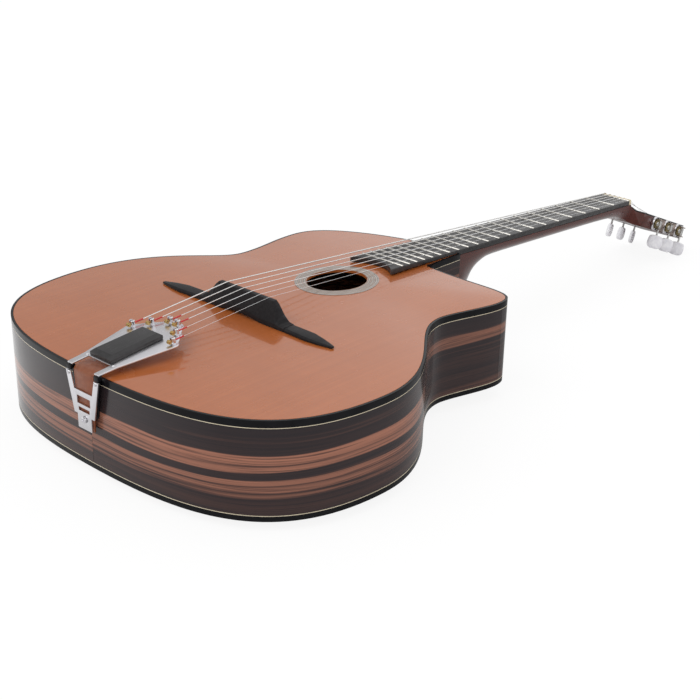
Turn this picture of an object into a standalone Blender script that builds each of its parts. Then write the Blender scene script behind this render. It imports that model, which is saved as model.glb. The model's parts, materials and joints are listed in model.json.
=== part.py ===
"""Gypsy jazz guitar with an oval sound hole, a moustache bridge and a hinged-strap tailpiece.

The guitar is drawn in its own frame: +Y runs from the tail to the head, +X is the treble side
with the cutaway, and z = 0 is the plane of the back's edge. At the end it is laid on its back,
so that it rests on the arched back and on the lowest tuner buttons. Lengths are in metres.
"""
import math

import bmesh
import bpy
from mathutils import Vector

GAP = 0.0003                    # clearance between pieces that touch

# Body
BODY_LENGTH = 0.4704            # tail to the neck joint, which is at the 14th fret
LOWER_BOUT = 0.2095             # half width
TAIL_DEPTH = 0.0921             # height of the top's edge above the back's edge
JOINT_DEPTH = 0.0880
TOP_ARCH = 0.0042
BACK_ARCH = 0.0115
PLATE_THICKNESS = 0.0025
RIB_THICKNESS = 0.0020
BINDING_WIDTH = 0.0022
TOP_BINDING_HEIGHT = 0.0065
BACK_BINDING_HEIGHT = 0.0050
PLATE_INSET = 0.0025
LINING_WIDTH = 0.0055
LINING_HEIGHT = 0.0120
CUTAWAY_CORNER = 0.4148         # where the cutaway meets the straight side of the neck block
JOINT_HALF_TREBLE = 0.02806
JOINT_HALF_BASS = 0.02865
CURVE_STEPS = 9
BLOCK_HALF_WIDTH = 0.045        # of the tail block
TAIL_BLOCK_DEPTH = 0.020
NECK_BLOCK_FRONT = 0.4250
NECK_BLOCK_BASS = -0.0260
CLEAR_OF_BLOCKS = 0.052         # the linings stop this far from the seam
BRACE_HALF_WIDTH = 0.0035
BRACE_HEIGHT = 0.0130
BRACE_CLEARANCE = 0.0006
BRACE_STATIONS = 8
BRACE_RIDGE = 0.35              # width of a brace's crown, as a share of its foot
BRACE_ENDS_CLEAR = 0.006
TONE_BAR_X = 0.035
TONE_BAR_Y = (0.115, 0.252)

# One cubic curve a line: start, two handles, end. Both sides start at the tail seam.
TREBLE_SIDE = (
    ((0, 0), (0.1109, 0), (LOWER_BOUT, 0.0109), (LOWER_BOUT, 0.1472)),
    ((LOWER_BOUT, 0.1472), (LOWER_BOUT, 0.2274), (0.1308, 0.2661), (0.1308, 0.3086)),
    ((0.1308, 0.3086), (0.1308, 0.3300), (0.1468, 0.3620), (0.1468, 0.3860)),
    ((0.1468, 0.3860), (0.1468, 0.4240), (0.1050, 0.4030), (JOINT_HALF_TREBLE, CUTAWAY_CORNER)),
)
BASS_SIDE = (
    ((0, 0), (-0.1109, 0), (-LOWER_BOUT, 0.0109), (-LOWER_BOUT, 0.1472)),
    ((-LOWER_BOUT, 0.1472), (-LOWER_BOUT, 0.2497), (-0.1350, 0.2720), (-0.1350, 0.3030)),
    ((-0.1350, 0.3030), (-0.1350, 0.3440), (-0.1433, 0.3478), (-0.1433, 0.3935)),
    ((-0.1433, 0.3935), (-0.1433, 0.4436), (-0.0342, BODY_LENGTH), (-JOINT_HALF_BASS, BODY_LENGTH)),
)
TAIL, HORN, CORNER, JOINT = 0, 3 * CURVE_STEPS, 4 * CURVE_STEPS, 4 * CURVE_STEPS + 2

# Sound hole and rosette
HOLE_Y = 0.3067
HOLE_HALF = (0.0280, 0.0330)
ROSETTE_HALF = (0.0395, 0.0447)
ROSETTE_THICKNESS = 0.0005
ROSETTE_STEPS = 40
BACK_CENTRE = (0.0, 0.200)

# Strings, frets and fingerboard
ZERO_FRET_Y = 0.8252
SADDLE_Y = 0.1854
SCALE_LENGTH = ZERO_FRET_Y - SADDLE_Y
FRETS = 21
FRET_HEIGHT = 0.0010
FRET_HALF_WIDTH = 0.0011
FRET_SLOPE = 0.0648             # fall of the fret plane towards the head
FRET_PLANE_AT_JOINT = 0.0930
BOARD_AND_FRET = 0.0068         # underside of the board below the fret plane
BOARD_END_Y = 0.3566
BOARD_NUT_Y = 0.8268
NUT_HALF = 0.0205
BOARD_TAPER = 0.01607           # growth of the half width towards the body
BOARD_ARC_RADIUS = 0.0375
BOARD_ARC_Y = 0.3310
BOARD_OVER_TOP = 0.0005
NUT_LENGTH = 0.0043
STRING_SPREAD_BRIDGE = (0.0279, 0.0167, 0.0056)
STRING_SPREAD_NUT = (0.0175, 0.0105, 0.0035)
STRING_DIAMETERS = (0.00028, 0.00038, 0.00061, 0.00076, 0.00094, 0.00117)
STRING_AT_BRIDGE = 0.1168
STRING_SIDES = 6
STRING_CLEARANCE = 0.00035      # beside the posts, frets and rollers
STRING_AT_ROLLER = (0.0170, 0.0135, 0.0100)
SILK_RADIUS = 0.0007
SILK_LENGTH = 0.014
BALL_RADIUS = 0.0019
BALL_LENGTH = 0.0038

# Neck and head
NECK_TOP_BELOW_FRETS = 0.0071
SHAFT_DEPTH = 0.0156            # of the neck at its head end
SHAFT_GROWTH = 0.0085           # of the neck's depth towards the body
HEEL_POWER = 2.2                # how suddenly the heel leaves the shaft
ROD_Y = (0.4860, 0.8080)
ROD_HALF = 0.0028
CHANNEL_HALF = 0.0032
CHANNEL_DEPTH = 0.0090
HEEL_FOOT_Y = 0.489
HEEL_REACH_Y = 0.545
HEEL_CAP_THICKNESS = 0.0020
HEEL_CAP_HALF = 0.0100
HEAD_BREAK_Y = 0.807
HEAD_ORIGIN = (0.8320, 0.0579)  # y and z of the head face's plane at the nut
HEAD_SLOPE = math.radians(21.4)
HEAD_LENGTH = 0.1377
HEAD_HALF = 0.0300
HEAD_THICKNESS = 0.0185
HEAD_SHOULDER = 0.0220
HEADPLATE_THICKNESS = 0.0015
SCARF_S = 0.0040
SWOOP_LENGTH = 0.0140
SWOOP_RISE = 0.0050
SLOT_INNER, SLOT_OUTER = 0.0060, 0.0200
SLOT_START, SLOT_END = 0.0330, 0.1310

# Half sections as shares of width and depth, from the top edge to the middle underneath
ROUND_HALF = ((1, 0), (0.95, 0.31), (0.81, 0.59), (0.59, 0.81), (0.31, 0.95), (0, 1))
HEEL_HALF = ((1, 0), (0.88, 0.18), (0.66, 0.42), (0.48, 0.70), (0.38, 1), (0, 1))
SQUARE_HALF = ((1, 0), (1, 0.33), (1, 0.67), (1, 1), (0.5, 1), (0, 1))

# Tuners
ROLLER_START = 0.0530           # first roller from the nut, along the head
ROLLER_PITCH = 0.0325
ROLLER_N = -0.0093
BARREL_RADIUS = 0.0050
SHAFT_RADIUS = 0.0030
SHAFT_HOLE = 0.0034
GEAR_TEETH = 14
GEAR_RADIUS = 0.0064
WORM_RADIUS = 0.0022
WORM_OFFSET = 0.0090
WORM_HALF_LENGTH = 0.0050
STEM_RADIUS = 0.0013
PLATE_X = (0.0303, 0.0316)
WORM_X = 0.0343
GEAR_X = (0.0332, 0.0354)
ROLLER_PROFILE = (              # x and radius, from the head's middle outwards
    (0.0022, 0.0026), (0.0062, 0.0026), (0.0064, BARREL_RADIUS), (0.0196, BARREL_RADIUS),
    (0.0198, SHAFT_RADIUS), (0.0360, SHAFT_RADIUS), (0.0367, 0.0022))
WORM_PLACES = (                 # z and radius
    (0.0071, STEM_RADIUS), (WORM_HALF_LENGTH, STEM_RADIUS), (WORM_HALF_LENGTH, WORM_RADIUS),
    (-WORM_HALF_LENGTH, WORM_RADIUS), (-WORM_HALF_LENGTH, STEM_RADIUS), (-0.0142, STEM_RADIUS))
KNOB_PLACES = (                 # z, half width, half thickness
    (-0.0142, 0.0045, 0.0026), (-0.0155, 0.0085, 0.0031), (-0.0205, 0.0100, 0.0034),
    (-0.0275, 0.0100, 0.0034), (-0.0305, 0.0078, 0.0029), (-0.0316, 0.0045, 0.0018))
BUTTON_TURNS = {                # from lying across the head, nut end first
    "bass": (2.30, 2.45, 2.20), "treble": (0.62, 0.75, 0.55)}
TUNER_PLATE_S = (0.0440, 0.1350)
TUNER_PLATE_HALF = 0.0076
TAB_HALF = 0.0030
TAB_REACH = 0.0373
TAB_GAP = 0.0004
TAB_THICKNESS = 0.0012

# Bridge
RESTING_GAP = 0.0004
BRIDGE_Y = (0.1735, 0.1876)     # tail and neck edges of its foot
BRIDGE_CREST = 0.1160
BRIDGE_SHOULDER = 0.0045
BRIDGE_LEAN = 0.0085
MOUSTACHE_STATIONS = (          # x, tail edge, neck edge, thickness
    (0.0589, 0.1735, 0.1876, 0.0036), (0.0700, 0.1732, 0.1879, 0.0035), (0.0855, 0.1727, 0.1882, 0.0033),
    (0.1000, 0.1746, 0.1853, 0.0027), (0.1146, 0.1777, 0.1812, 0.0018))
SIDES = (("bass", -1), ("treble", 1))

# Tailpiece
TAILPLATE_Z = 0.0970            # middle of the plate at y = 0
TAILPLATE_RISE = 0.10
TAILPLATE_THICKNESS = 0.0014
POST_PLACES = ((0.0276, 0.0700), (0.0166, 0.0830), (0.00505, 0.0950))
POST_HEIGHT = 0.0066
PRONG_X = (0.0011, 0.0030)      # from the string, sideways
PRONG_Y = (-0.0012, 0.0030)     # behind and in front of the post's place
LOBE_RADIUS = 0.0058
STRING_OVER_PLATE = 0.0030
HANGER_Y = (-0.0063, -0.0049)
PAD_HALF = 0.0135
PAD_NARROWING = 0.0030
PAD_FOOT_Z = 0.0400
SCREW_Z = 0.0495
SCREW_BORE_RADIUS = 0.0022
SCREW_SIDES = 12

COLOURS = {
    "cedar": ((0.52, 0.22, 0.09), 0.15, 0.0),
    "spruce": ((0.72, 0.55, 0.34), 0.60, 0.0),
    "macassar": ((0.045, 0.030, 0.026), 0.18, 0.0),
    "black_binding": ((0.012, 0.012, 0.014), 0.20, 0.0),
    "neck_wood": ((0.20, 0.060, 0.030), 0.20, 0.0),
    "ebony": ((0.018, 0.017, 0.018), 0.35, 0.0),
    "bone": ((0.80, 0.72, 0.55), 0.35, 0.0),
    "chrome": ((0.80, 0.80, 0.82), 0.10, 1.0),
    "steel": ((0.60, 0.60, 0.62), 0.25, 1.0),
    "leather": ((0.25, 0.085, 0.045), 0.40, 0.0),
    "rosette_wood": ((0.30, 0.27, 0.24), 0.30, 0.0),
    "pearloid": ((0.86, 0.85, 0.87), 0.20, 0.0),
}


# Basic shapes

def clear_scene():
    for thing in list(bpy.data.objects):
        bpy.data.objects.remove(thing, do_unlink=True)


def material(finish, name):
    """A Principled material of the object's own, in one of the guitar's finishes."""
    colour, roughness, metallic = COLOURS[finish]
    surface = bpy.data.materials.new(name)
    surface.use_nodes = True
    shader = surface.node_tree.nodes["Principled BSDF"]
    shader.inputs["Base Color"].default_value = (*colour, 1.0)
    shader.inputs["Roughness"].default_value = roughness
    shader.inputs["Metallic"].default_value = metallic
    return surface


def make_object(name, points, faces, finish, parent, location=(0, 0, 0), turn=(0, 0, 0), smooth=35):
    mesh = bpy.data.meshes.new(name)
    mesh.from_pydata([tuple(point) for point in points], [], faces)
    tidy = bmesh.new()
    tidy.from_mesh(mesh)
    bmesh.ops.recalc_face_normals(tidy, faces=tidy.faces)
    tidy.to_mesh(mesh)
    tidy.free()
    mesh.shade_smooth()
    mesh.set_sharp_from_angle(angle=math.radians(smooth))
    mesh.materials.append(material(finish, name))
    piece = bpy.data.objects.new(name, mesh)
    bpy.context.collection.objects.link(piece)
    piece.parent = parent
    piece.location = location
    piece.rotation_euler = turn
    return piece


def make_empty(name, parent=None, location=(0, 0, 0), turn=(0, 0, 0)):
    empty = bpy.data.objects.new(name, None)
    bpy.context.collection.objects.link(empty)
    empty.parent = parent
    empty.location = location
    empty.rotation_euler = turn
    return empty


def as_guide(piece):
    """A cutter or guide, which isn't a piece of the guitar."""
    piece.hide_render = True
    piece.display_type = 'WIRE'
    return piece


def shape_with(piece, tool, operation='DIFFERENCE'):
    change = piece.modifiers.new(operation.lower() + "_" + tool.name, 'BOOLEAN')
    change.operation = operation
    change.object = tool
    change.solver = 'EXACT'


def loft(sections, closed=False):
    """Points and faces of a skin through rings of points, capped at its ends or closed on itself."""
    count = len(sections[0])
    points = [point for ring in sections for point in ring]
    faces = []
    last = len(sections) if closed else len(sections) - 1
    for ring in range(last):
        start, following = ring * count, ((ring + 1) % len(sections)) * count
        for i in range(count):
            j = (i + 1) % count
            faces.append((start + i, start + j, following + j, following + i))
    if not closed:
        faces.append(tuple(range(count)))
        faces.append(tuple(range((len(sections) - 1) * count, len(sections) * count)))
    return points, faces


def slab(outline, place_low, place_high):
    """A flat outline carried from one face to the other by two functions of its points."""
    return loft([[place_low(*point) for point in outline], [place_high(*point) for point in outline]])


def arc(centre, radius, first, last, steps):
    """Points on an arc, its angles in degrees."""
    angles = [math.radians(first + (last - first) * k / steps) for k in range(steps + 1)]
    return [(centre[0] + radius * math.cos(a), centre[1] + radius * math.sin(a)) for a in angles]


def rod(radius, start, end, sides):
    """A round bar between two points on an axis-aligned line."""
    start, end = Vector(start), Vector(end)
    along = (end - start).normalized()
    side = Vector((0, 0, 1)) if abs(along.z) < 0.5 else Vector((1, 0, 0))
    across = along.cross(side)
    rings = []
    for end_point in (start, end):
        turns = [2 * math.pi * k / sides for k in range(sides)]
        rings.append([end_point + radius * (across * math.cos(a) + side * math.sin(a)) for a in turns])
    return loft(rings)


def mirrored(points):
    return [(-x, *rest) for x, *rest in points]


# The body's outline and its arched surfaces

def cubic(curve, steps):
    """Points along a cubic curve, without its last one."""
    start, first, second, end = (Vector(point) for point in curve)
    points = []
    for k in range(steps):
        t = k / steps
        u = 1 - t
        points.append(u ** 3 * start + 3 * u * u * t * first + 3 * u * t * t * second + t ** 3 * end)
    return points


def body_outline():
    """Counterclockwise from the tail seam: treble side, cutaway, neck joint, bass side."""
    outline = []
    for curve in TREBLE_SIDE:
        outline += cubic(curve, CURVE_STEPS)
    outline.append(Vector((JOINT_HALF_TREBLE, CUTAWAY_CORNER)))
    outline.append(Vector((JOINT_HALF_TREBLE, BODY_LENGTH)))
    outline.append(Vector((0, BODY_LENGTH)))
    for curve in reversed(BASS_SIDE):
        outline += cubic(tuple(reversed(curve)), CURVE_STEPS)
    return outline


def inset(outline, distance):
    """The closed outline moved inwards, with mitred corners."""
    moved = []
    for i, point in enumerate(outline):
        before = (point - outline[i - 1]).normalized()
        after = (outline[(i + 1) % len(outline)] - point).normalized()
        left_before = Vector((-before.y, before.x))
        left_after = Vector((-after.y, after.x))
        moved.append(point + distance * (left_before + left_after) / (1 + left_before.dot(left_after)))
    return moved


OUTLINE = body_outline()


def edge_height(y):
    return TAIL_DEPTH + (JOINT_DEPTH - TAIL_DEPTH) * y / BODY_LENGTH


def reach(centre, x, y):
    """How far a point lies from the centre towards the outline, from 0 to 1."""
    step = Vector((x, y)) - Vector(centre)
    if step.length < 1e-6:
        return 0.0
    for i, start in enumerate(OUTLINE):
        side = OUTLINE[(i + 1) % len(OUTLINE)] - start
        cross = step.x * side.y - step.y * side.x
        if abs(cross) < 1e-12:
            continue
        to_start = start - Vector(centre)
        ray = (to_start.x * side.y - to_start.y * side.x) / cross
        along = (to_start.x * step.y - to_start.y * step.x) / cross
        if ray > 0 and -1e-9 <= along <= 1 + 1e-9:
            return min(1.0, 1 / ray)
    return 1.0


def top_surface(x, y):
    return edge_height(y) + TOP_ARCH * (1 - reach((0, HOLE_Y), x, y) ** 2)


def back_surface(x, y):
    return -BACK_ARCH * (1 - reach(BACK_CENTRE, x, y) ** 2)


def half_span(y, margin, side):
    """Half width of the body at y, less a margin, on the treble (1) or the bass side (-1)."""
    found = 0.0
    shrunk = inset(OUTLINE, margin)
    for i, start in enumerate(shrunk):
        end = shrunk[(i + 1) % len(shrunk)]
        if (start.y - y) * (end.y - y) <= 0 and start.y != end.y:
            x = start.x + (end.x - start.x) * (y - start.y) / (end.y - start.y)
            found = max(found, side * x)
    return found


# The body's pieces

def plate(name, rings, centre, upper, lower, finish, parent):
    """A plate over nested rings of points, round a hole or round a centre point."""
    count = len(rings[0])
    layers = []
    points = []
    for surface in (upper, lower):
        layer = []
        for ring in rings:
            layer.append([len(points) + k for k in range(count)])
            points += [(x, y, surface(x, y)) for x, y in ring]
        layers.append(layer)
    faces = []
    for i in range(count):
        j = (i + 1) % count
        for layer in layers:
            for inner, outer in zip(layer, layer[1:]):
                faces.append((inner[i], outer[i], outer[j], inner[j]))
        faces.append((layers[0][-1][i], layers[1][-1][i], layers[1][-1][j], layers[0][-1][j]))
        if centre is None:
            faces.append((layers[0][0][i], layers[0][0][j], layers[1][0][j], layers[1][0][i]))
    if centre is not None:
        for surface, layer in zip((upper, lower), layers):
            middle = len(points)
            points.append((*centre, surface(*centre)))
            faces += [(middle, layer[0][i], layer[0][(i + 1) % count]) for i in range(count)]
    return make_object(name, points, faces, finish, parent)


def blend_rings(inner, outer, fractions):
    return [[tuple(a + (b - a) * f) for a, b in zip(inner, outer)] for f in fractions]


def add_plates(guitar):
    edge = inset(OUTLINE, PLATE_INSET)
    hole = []
    for point in edge:
        step = point - Vector((0, HOLE_Y))
        scale = 1 / math.hypot(step.x / HOLE_HALF[0], step.y / HOLE_HALF[1])
        hole.append(Vector((0, HOLE_Y)) + step * scale)
    rings = blend_rings(hole, edge, (0, 0.25, 0.55, 0.82, 1))
    plate("top_plate", rings, None, top_surface,
          lambda x, y: top_surface(x, y) - PLATE_THICKNESS, "cedar", guitar)
    middle = [Vector(BACK_CENTRE)] * len(edge)
    rings = blend_rings(middle, edge, (0.30, 0.60, 0.85, 1))
    plate("back_plate", rings, BACK_CENTRE, lambda x, y: back_surface(x, y) + PLATE_THICKNESS,
          back_surface, "macassar", guitar)


def wall(name, first, last, depths, low, high, finish, parent, open_ends=True):
    """A strip that follows the outline between two of its points, from one inset to another."""
    outer = inset(OUTLINE, depths[0]) if depths[0] else OUTLINE
    inner = inset(OUTLINE, depths[1])
    count = len(OUTLINE)
    sections = []
    for i in range(first, last + 1):
        a, b = outer[i % count], inner[i % count]
        if open_ends and i in (first, last):
            towards = OUTLINE[(i + 1) % count] if i == first else OUTLINE[i - 1]
            shift = (towards - OUTLINE[i % count]).normalized() * GAP / 2
            a, b = a + shift, b + shift
        sections.append([(a.x, a.y, low(a.y)), (a.x, a.y, high(a.y)),
                         (b.x, b.y, high(a.y)), (b.x, b.y, low(a.y))])
    points, faces = loft(sections, closed=not open_ends)
    return make_object(name, points, faces, finish, parent)


def add_ribs(guitar):
    spans = {"treble_rib": (TAIL, HORN), "cutaway_rib": (HORN, JOINT), "bass_rib": (JOINT, len(OUTLINE))}
    ribs = {}
    for name, (first, last) in spans.items():
        ribs[name] = wall(name, first, last, (0, RIB_THICKNESS),
                          lambda y: BACK_BINDING_HEIGHT + GAP,
                          lambda y: edge_height(y) - TOP_BINDING_HEIGHT - GAP, "macassar", guitar)
    return ribs


def add_bindings(guitar):
    last = len(OUTLINE) - 1
    wall("top_binding", 0, last, (0, BINDING_WIDTH), lambda y: edge_height(y) - TOP_BINDING_HEIGHT,
         edge_height, "black_binding", guitar, open_ends=False)
    wall("back_binding", 0, last, (0, BINDING_WIDTH), lambda y: 0.0,
         lambda y: BACK_BINDING_HEIGHT, "black_binding", guitar, open_ends=False)


def under_top(y):
    """Underside of the top at its edge, where the linings and blocks stop."""
    return edge_height(y) - PLATE_THICKNESS - GAP


def add_linings(guitar):
    depths = (PLATE_INSET, PLATE_INSET + LINING_WIDTH)
    foot = PLATE_THICKNESS + GAP
    treble = [i for i in range(0, CORNER) if OUTLINE[i].x > CLEAR_OF_BLOCKS]
    bass = [i for i in range(JOINT, len(OUTLINE)) if OUTLINE[i].x < -CLEAR_OF_BLOCKS]
    for side, places in (("treble", treble), ("bass", bass)):
        wall("top_lining_" + side, places[0], places[-1], depths, lambda y: under_top(y) - LINING_HEIGHT,
             under_top, "spruce", guitar)
        wall("back_lining_" + side, places[0], places[-1], depths, lambda y: foot,
             lambda y: foot + LINING_HEIGHT, "spruce", guitar)


def add_block(name, outline, guitar):
    """A block between the back and the top."""
    body = slab(outline, lambda x, y: (x, y, PLATE_THICKNESS + GAP), lambda x, y: (x, y, under_top(y)))
    return make_object(name, *body, "spruce", guitar)


def add_blocks(guitar):
    inner = inset(OUTLINE, RIB_THICKNESS + 2 * GAP)
    face = [point for point in inner if abs(point.x) < BLOCK_HALF_WIDTH and point.y < TAIL_BLOCK_DEPTH]
    face.sort(key=lambda point: point.x)
    outline = [tuple(point) for point in face]
    outline += [(outline[-1][0], TAIL_BLOCK_DEPTH), (outline[0][0], TAIL_BLOCK_DEPTH)]
    tail = add_block("tail_block", outline, guitar)
    treble = JOINT_HALF_TREBLE - RIB_THICKNESS - 2 * GAP
    back = BODY_LENGTH - RIB_THICKNESS - 2 * GAP
    add_block("neck_block", [(NECK_BLOCK_BASS, NECK_BLOCK_FRONT), (treble, NECK_BLOCK_FRONT), (treble, back),
                             (NECK_BLOCK_BASS, back)], guitar)
    return tail


def brace_sections(start, end, surface, height):
    """Rings across a brace between two points; its glued edge follows the plate."""
    start, end = Vector(start), Vector(end)
    along = (end - start).normalized()
    side = Vector((-along.y, along.x)) * BRACE_HALF_WIDTH
    sections = []
    for k in range(BRACE_STATIONS + 1):
        t = k / BRACE_STATIONS
        point = start.lerp(end, t)
        from_end = min(1, 4 * min(t, 1 - t))
        deep = height * (0.45 + 0.55 * math.sin(math.pi * from_end / 2))
        glued = surface(point.x, point.y)
        left, right = point + side, point - side
        crown_right, crown_left = point - side * BRACE_RIDGE, point + side * BRACE_RIDGE
        sections.append([(left.x, left.y, glued), (right.x, right.y, glued),
                         (crown_right.x, crown_right.y, glued + deep),
                         (crown_left.x, crown_left.y, glued + deep)])
    return sections


def glued_to_top(x, y):
    return top_surface(x, y) - PLATE_THICKNESS - BRACE_CLEARANCE


def glued_to_back(x, y):
    return back_surface(x, y) + PLATE_THICKNESS + BRACE_CLEARANCE


def add_braces(guitar):
    margin = PLATE_INSET + LINING_WIDTH + BRACE_ENDS_CLEAR
    across = {"upper_top_brace": (0.395, glued_to_top, -BRACE_HEIGHT),
              "hole_top_brace": (0.262, glued_to_top, -BRACE_HEIGHT),
              "lower_top_brace": (0.105, glued_to_top, -BRACE_HEIGHT),
              "lower_back_brace": (0.110, glued_to_back, BRACE_HEIGHT),
              "middle_back_brace": (0.250, glued_to_back, BRACE_HEIGHT),
              "upper_back_brace": (0.390, glued_to_back, BRACE_HEIGHT)}
    for name, (y, surface, height) in across.items():
        ends = (-half_span(y, margin, -1), y), (half_span(y, margin, 1), y)
        make_object(name, *loft(brace_sections(*ends, surface, height)), "spruce", guitar)
    for side, sign in SIDES:
        ends = [(sign * TONE_BAR_X, y) for y in TONE_BAR_Y]
        make_object("tone_bar_" + side, *loft(brace_sections(*ends, glued_to_top, -BRACE_HEIGHT * 0.8)),
                    "spruce", guitar)


def add_rosette(guitar):
    sections = []
    for k in range(ROSETTE_STEPS):
        angle = 2 * math.pi * k / ROSETTE_STEPS
        ring = []
        for half, lift in ((HOLE_HALF, 0), (ROSETTE_HALF, 0), (ROSETTE_HALF, 1), (HOLE_HALF, 1)):
            x, y = half[0] * math.cos(angle), HOLE_Y + half[1] * math.sin(angle)
            ring.append((x, y, top_surface(x, y) + GAP + lift * ROSETTE_THICKNESS))
        sections.append(ring)
    points, faces = loft(sections, closed=True)
    make_object("rosette", points, faces, "rosette_wood", guitar)


# Neck, fingerboard and head

def fret_plane(y):
    return FRET_PLANE_AT_JOINT + FRET_SLOPE * (BODY_LENGTH - y)


def board_half(y):
    return NUT_HALF + BOARD_TAPER * (BOARD_NUT_Y - y)


def head_point(x, s, n):
    """A point of the head's own frame (across, along, out of the face) in the guitar's frame."""
    along, out = math.cos(HEAD_SLOPE), math.sin(HEAD_SLOPE)
    return (x, HEAD_ORIGIN[0] + s * along + n * out, HEAD_ORIGIN[1] - s * out + n * along)


def head_half(s):
    if s >= HEAD_SHOULDER:
        return HEAD_HALF
    return HEAD_HALF - (HEAD_HALF - NUT_HALF) * math.sqrt(1 - (max(0, s) / HEAD_SHOULDER) ** 2)


def head_wood_top(s):
    """The wood under the headplate sweeps up towards the nut."""
    rise = SWOOP_RISE * max(0, 1 - s / SWOOP_LENGTH) ** 2
    return rise - HEADPLATE_THICKNESS - GAP


def mix(first, second, share):
    return [(a[0] + (b[0] - a[0]) * share, a[1] + (b[1] - a[1]) * share) for a, b in zip(first, second)]


def section(half_shape, half_width, top, bottom):
    """A closed ring from a half section between a top and a bottom point in the YZ plane."""
    right = []
    for across, down in half_shape:
        y = top[0] + (bottom[0] - top[0]) * down
        z = top[1] + (bottom[1] - top[1]) * down
        right.append((across * half_width, y, z))
    return right + mirrored(reversed(right[:-1]))


def shaft_sections():
    """The heel and the shaft, from the body to where the head bends back."""
    sections = []
    foot = HEEL_CAP_THICKNESS + GAP
    stations = (BODY_LENGTH + GAP, 0.480, HEEL_FOOT_Y, 0.495, 0.502, 0.510, 0.520, 0.532,
                HEEL_REACH_Y, 0.620, 0.720, HEAD_BREAK_Y)
    for y in stations:
        top = fret_plane(y) - NECK_TOP_BELOW_FRETS
        shaft = SHAFT_DEPTH + SHAFT_GROWTH * (HEAD_BREAK_Y - y)
        heel = min(1, max(0, (HEEL_REACH_Y - y) / (HEEL_REACH_Y - HEEL_FOOT_Y)))
        depth = shaft + (top - foot - shaft) * heel ** HEEL_POWER
        sections.append(section(mix(ROUND_HALF, HEEL_HALF, heel), board_half(y), (y, top), (y, top - depth)))
    return sections


def back_of_break(y):
    """Underside of the wood behind the nut, which falls with the head."""
    start = fret_plane(HEAD_BREAK_Y) - NECK_TOP_BELOW_FRETS - SHAFT_DEPTH
    return start - math.tan(HEAD_SLOPE) * (y - HEAD_BREAK_Y)


def nut_seat_sections():
    """Under the nut and down to the joint with the head. Each: top point, y of its foot, squareness."""
    seat_top = fret_plane(BOARD_NUT_Y) - NECK_TOP_BELOW_FRETS
    step_top = head_point(0, 0, head_wood_top(0))[2]
    sections = []
    for top, foot_y, share in (((0.8262, seat_top), 0.8235, 0.35), ((0.8318, seat_top), 0.8258, 0.50),
                               ((0.8320, step_top), 0.8260, 0.50)):
        shape = mix(ROUND_HALF, SQUARE_HALF, share)
        sections.append(section(shape, NUT_HALF, top, (foot_y, back_of_break(foot_y))))
    scarf = [head_point(0, SCARF_S, n)[1:] for n in (head_wood_top(SCARF_S), -HEAD_THICKNESS)]
    sections.append(section(mix(ROUND_HALF, SQUARE_HALF, 0.65), head_half(SCARF_S), *scarf))
    return sections


def bar_in_neck(half, low, high, ends):
    """A square bar below the neck's top, between two depths."""
    rings = []
    for y, depth_from in ends:
        top = fret_plane(depth_from) - NECK_TOP_BELOW_FRETS
        rings.append([(-half, y, top - low), (half, y, top - low),
                      (half, y, top - high), (-half, y, top - high)])
    return loft(rings)


def add_truss_rod(guitar, neck):
    first, last = ROD_Y
    channel = bar_in_neck(CHANNEL_HALF, CHANNEL_DEPTH, -0.002, ((first - 0.001, first), (last + 0.001, last)))
    shape_with(neck, as_guide(make_object("truss_channel_cutter", *channel, "neck_wood", guitar)))
    rod_body = bar_in_neck(ROD_HALF, CHANNEL_DEPTH - GAP, GAP, ((first, first), (last, last)))
    make_object("truss_rod", *rod_body, "steel", guitar)


def add_heel_cap(guitar):
    cap = [(HEEL_CAP_HALF, BODY_LENGTH + GAP)]
    cap += [(x, HEEL_FOOT_Y - HEEL_CAP_HALF * 0.4 + y) for x, y in arc((0, 0), HEEL_CAP_HALF, 0, 180, 8)]
    cap += [(-HEEL_CAP_HALF, BODY_LENGTH + GAP)]
    body = slab(cap, lambda x, y: (x, y, 0), lambda x, y: (x, y, HEEL_CAP_THICKNESS))
    make_object("heel_cap", *body, "ebony", guitar)


def add_neck(guitar):
    neck = make_object("neck", *loft(shaft_sections() + nut_seat_sections()), "neck_wood", guitar)
    add_truss_rod(guitar, neck)
    add_heel_cap(guitar)


def fret_places():
    return [ZERO_FRET_Y - SCALE_LENGTH * (1 - 2 ** (-k / 12)) for k in range(FRETS + 1)]


def add_fingerboard(guitar):
    """The board with its frets as low ridges; its end is hollowed to follow the hole."""
    stations = [(BOARD_NUT_Y, 0)]
    for y in fret_places():
        stations += [(y + FRET_HALF_WIDTH, 0), (y, FRET_HEIGHT), (y - FRET_HALF_WIDTH, 0)]
    joint = BODY_LENGTH - 0.0020
    stations += [(joint, 0), (BOARD_END_Y, 0)]
    stations.sort(reverse=True)
    sections = []
    for y, height in stations:
        half = board_half(y)
        top = fret_plane(y) - FRET_HEIGHT + height
        low = fret_plane(y) - BOARD_AND_FRET
        if y < BODY_LENGTH:
            low = max(low, top_surface(0, y) + BOARD_OVER_TOP)
        sections.append([(-half, y, low), (half, y, low), (half, y, top), (-half, y, top)])
    board = make_object("fingerboard", *loft(sections), "ebony", guitar, smooth=20)
    scoop = rod(BOARD_ARC_RADIUS, (0, BOARD_ARC_Y, 0.080), (0, BOARD_ARC_Y, 0.115), 64)
    shape_with(board, as_guide(make_object("board_end_cutter", *scoop, "ebony", guitar)))


def add_nut(guitar):
    base = fret_plane(BOARD_NUT_Y) - NECK_TOP_BELOW_FRETS + GAP
    crown = fret_plane(ZERO_FRET_Y) - 0.0002
    front = BOARD_NUT_Y + GAP
    back = front + NUT_LENGTH
    profile = [(front, base), (back, base), (back, crown - 0.0012), (back - 0.0014, crown), (front, crown)]
    rings = [[(side * NUT_HALF, y, z) for y, z in profile] for side in (-1, 1)]
    make_object("nut", *loft(rings), "bone", guitar)


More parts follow.
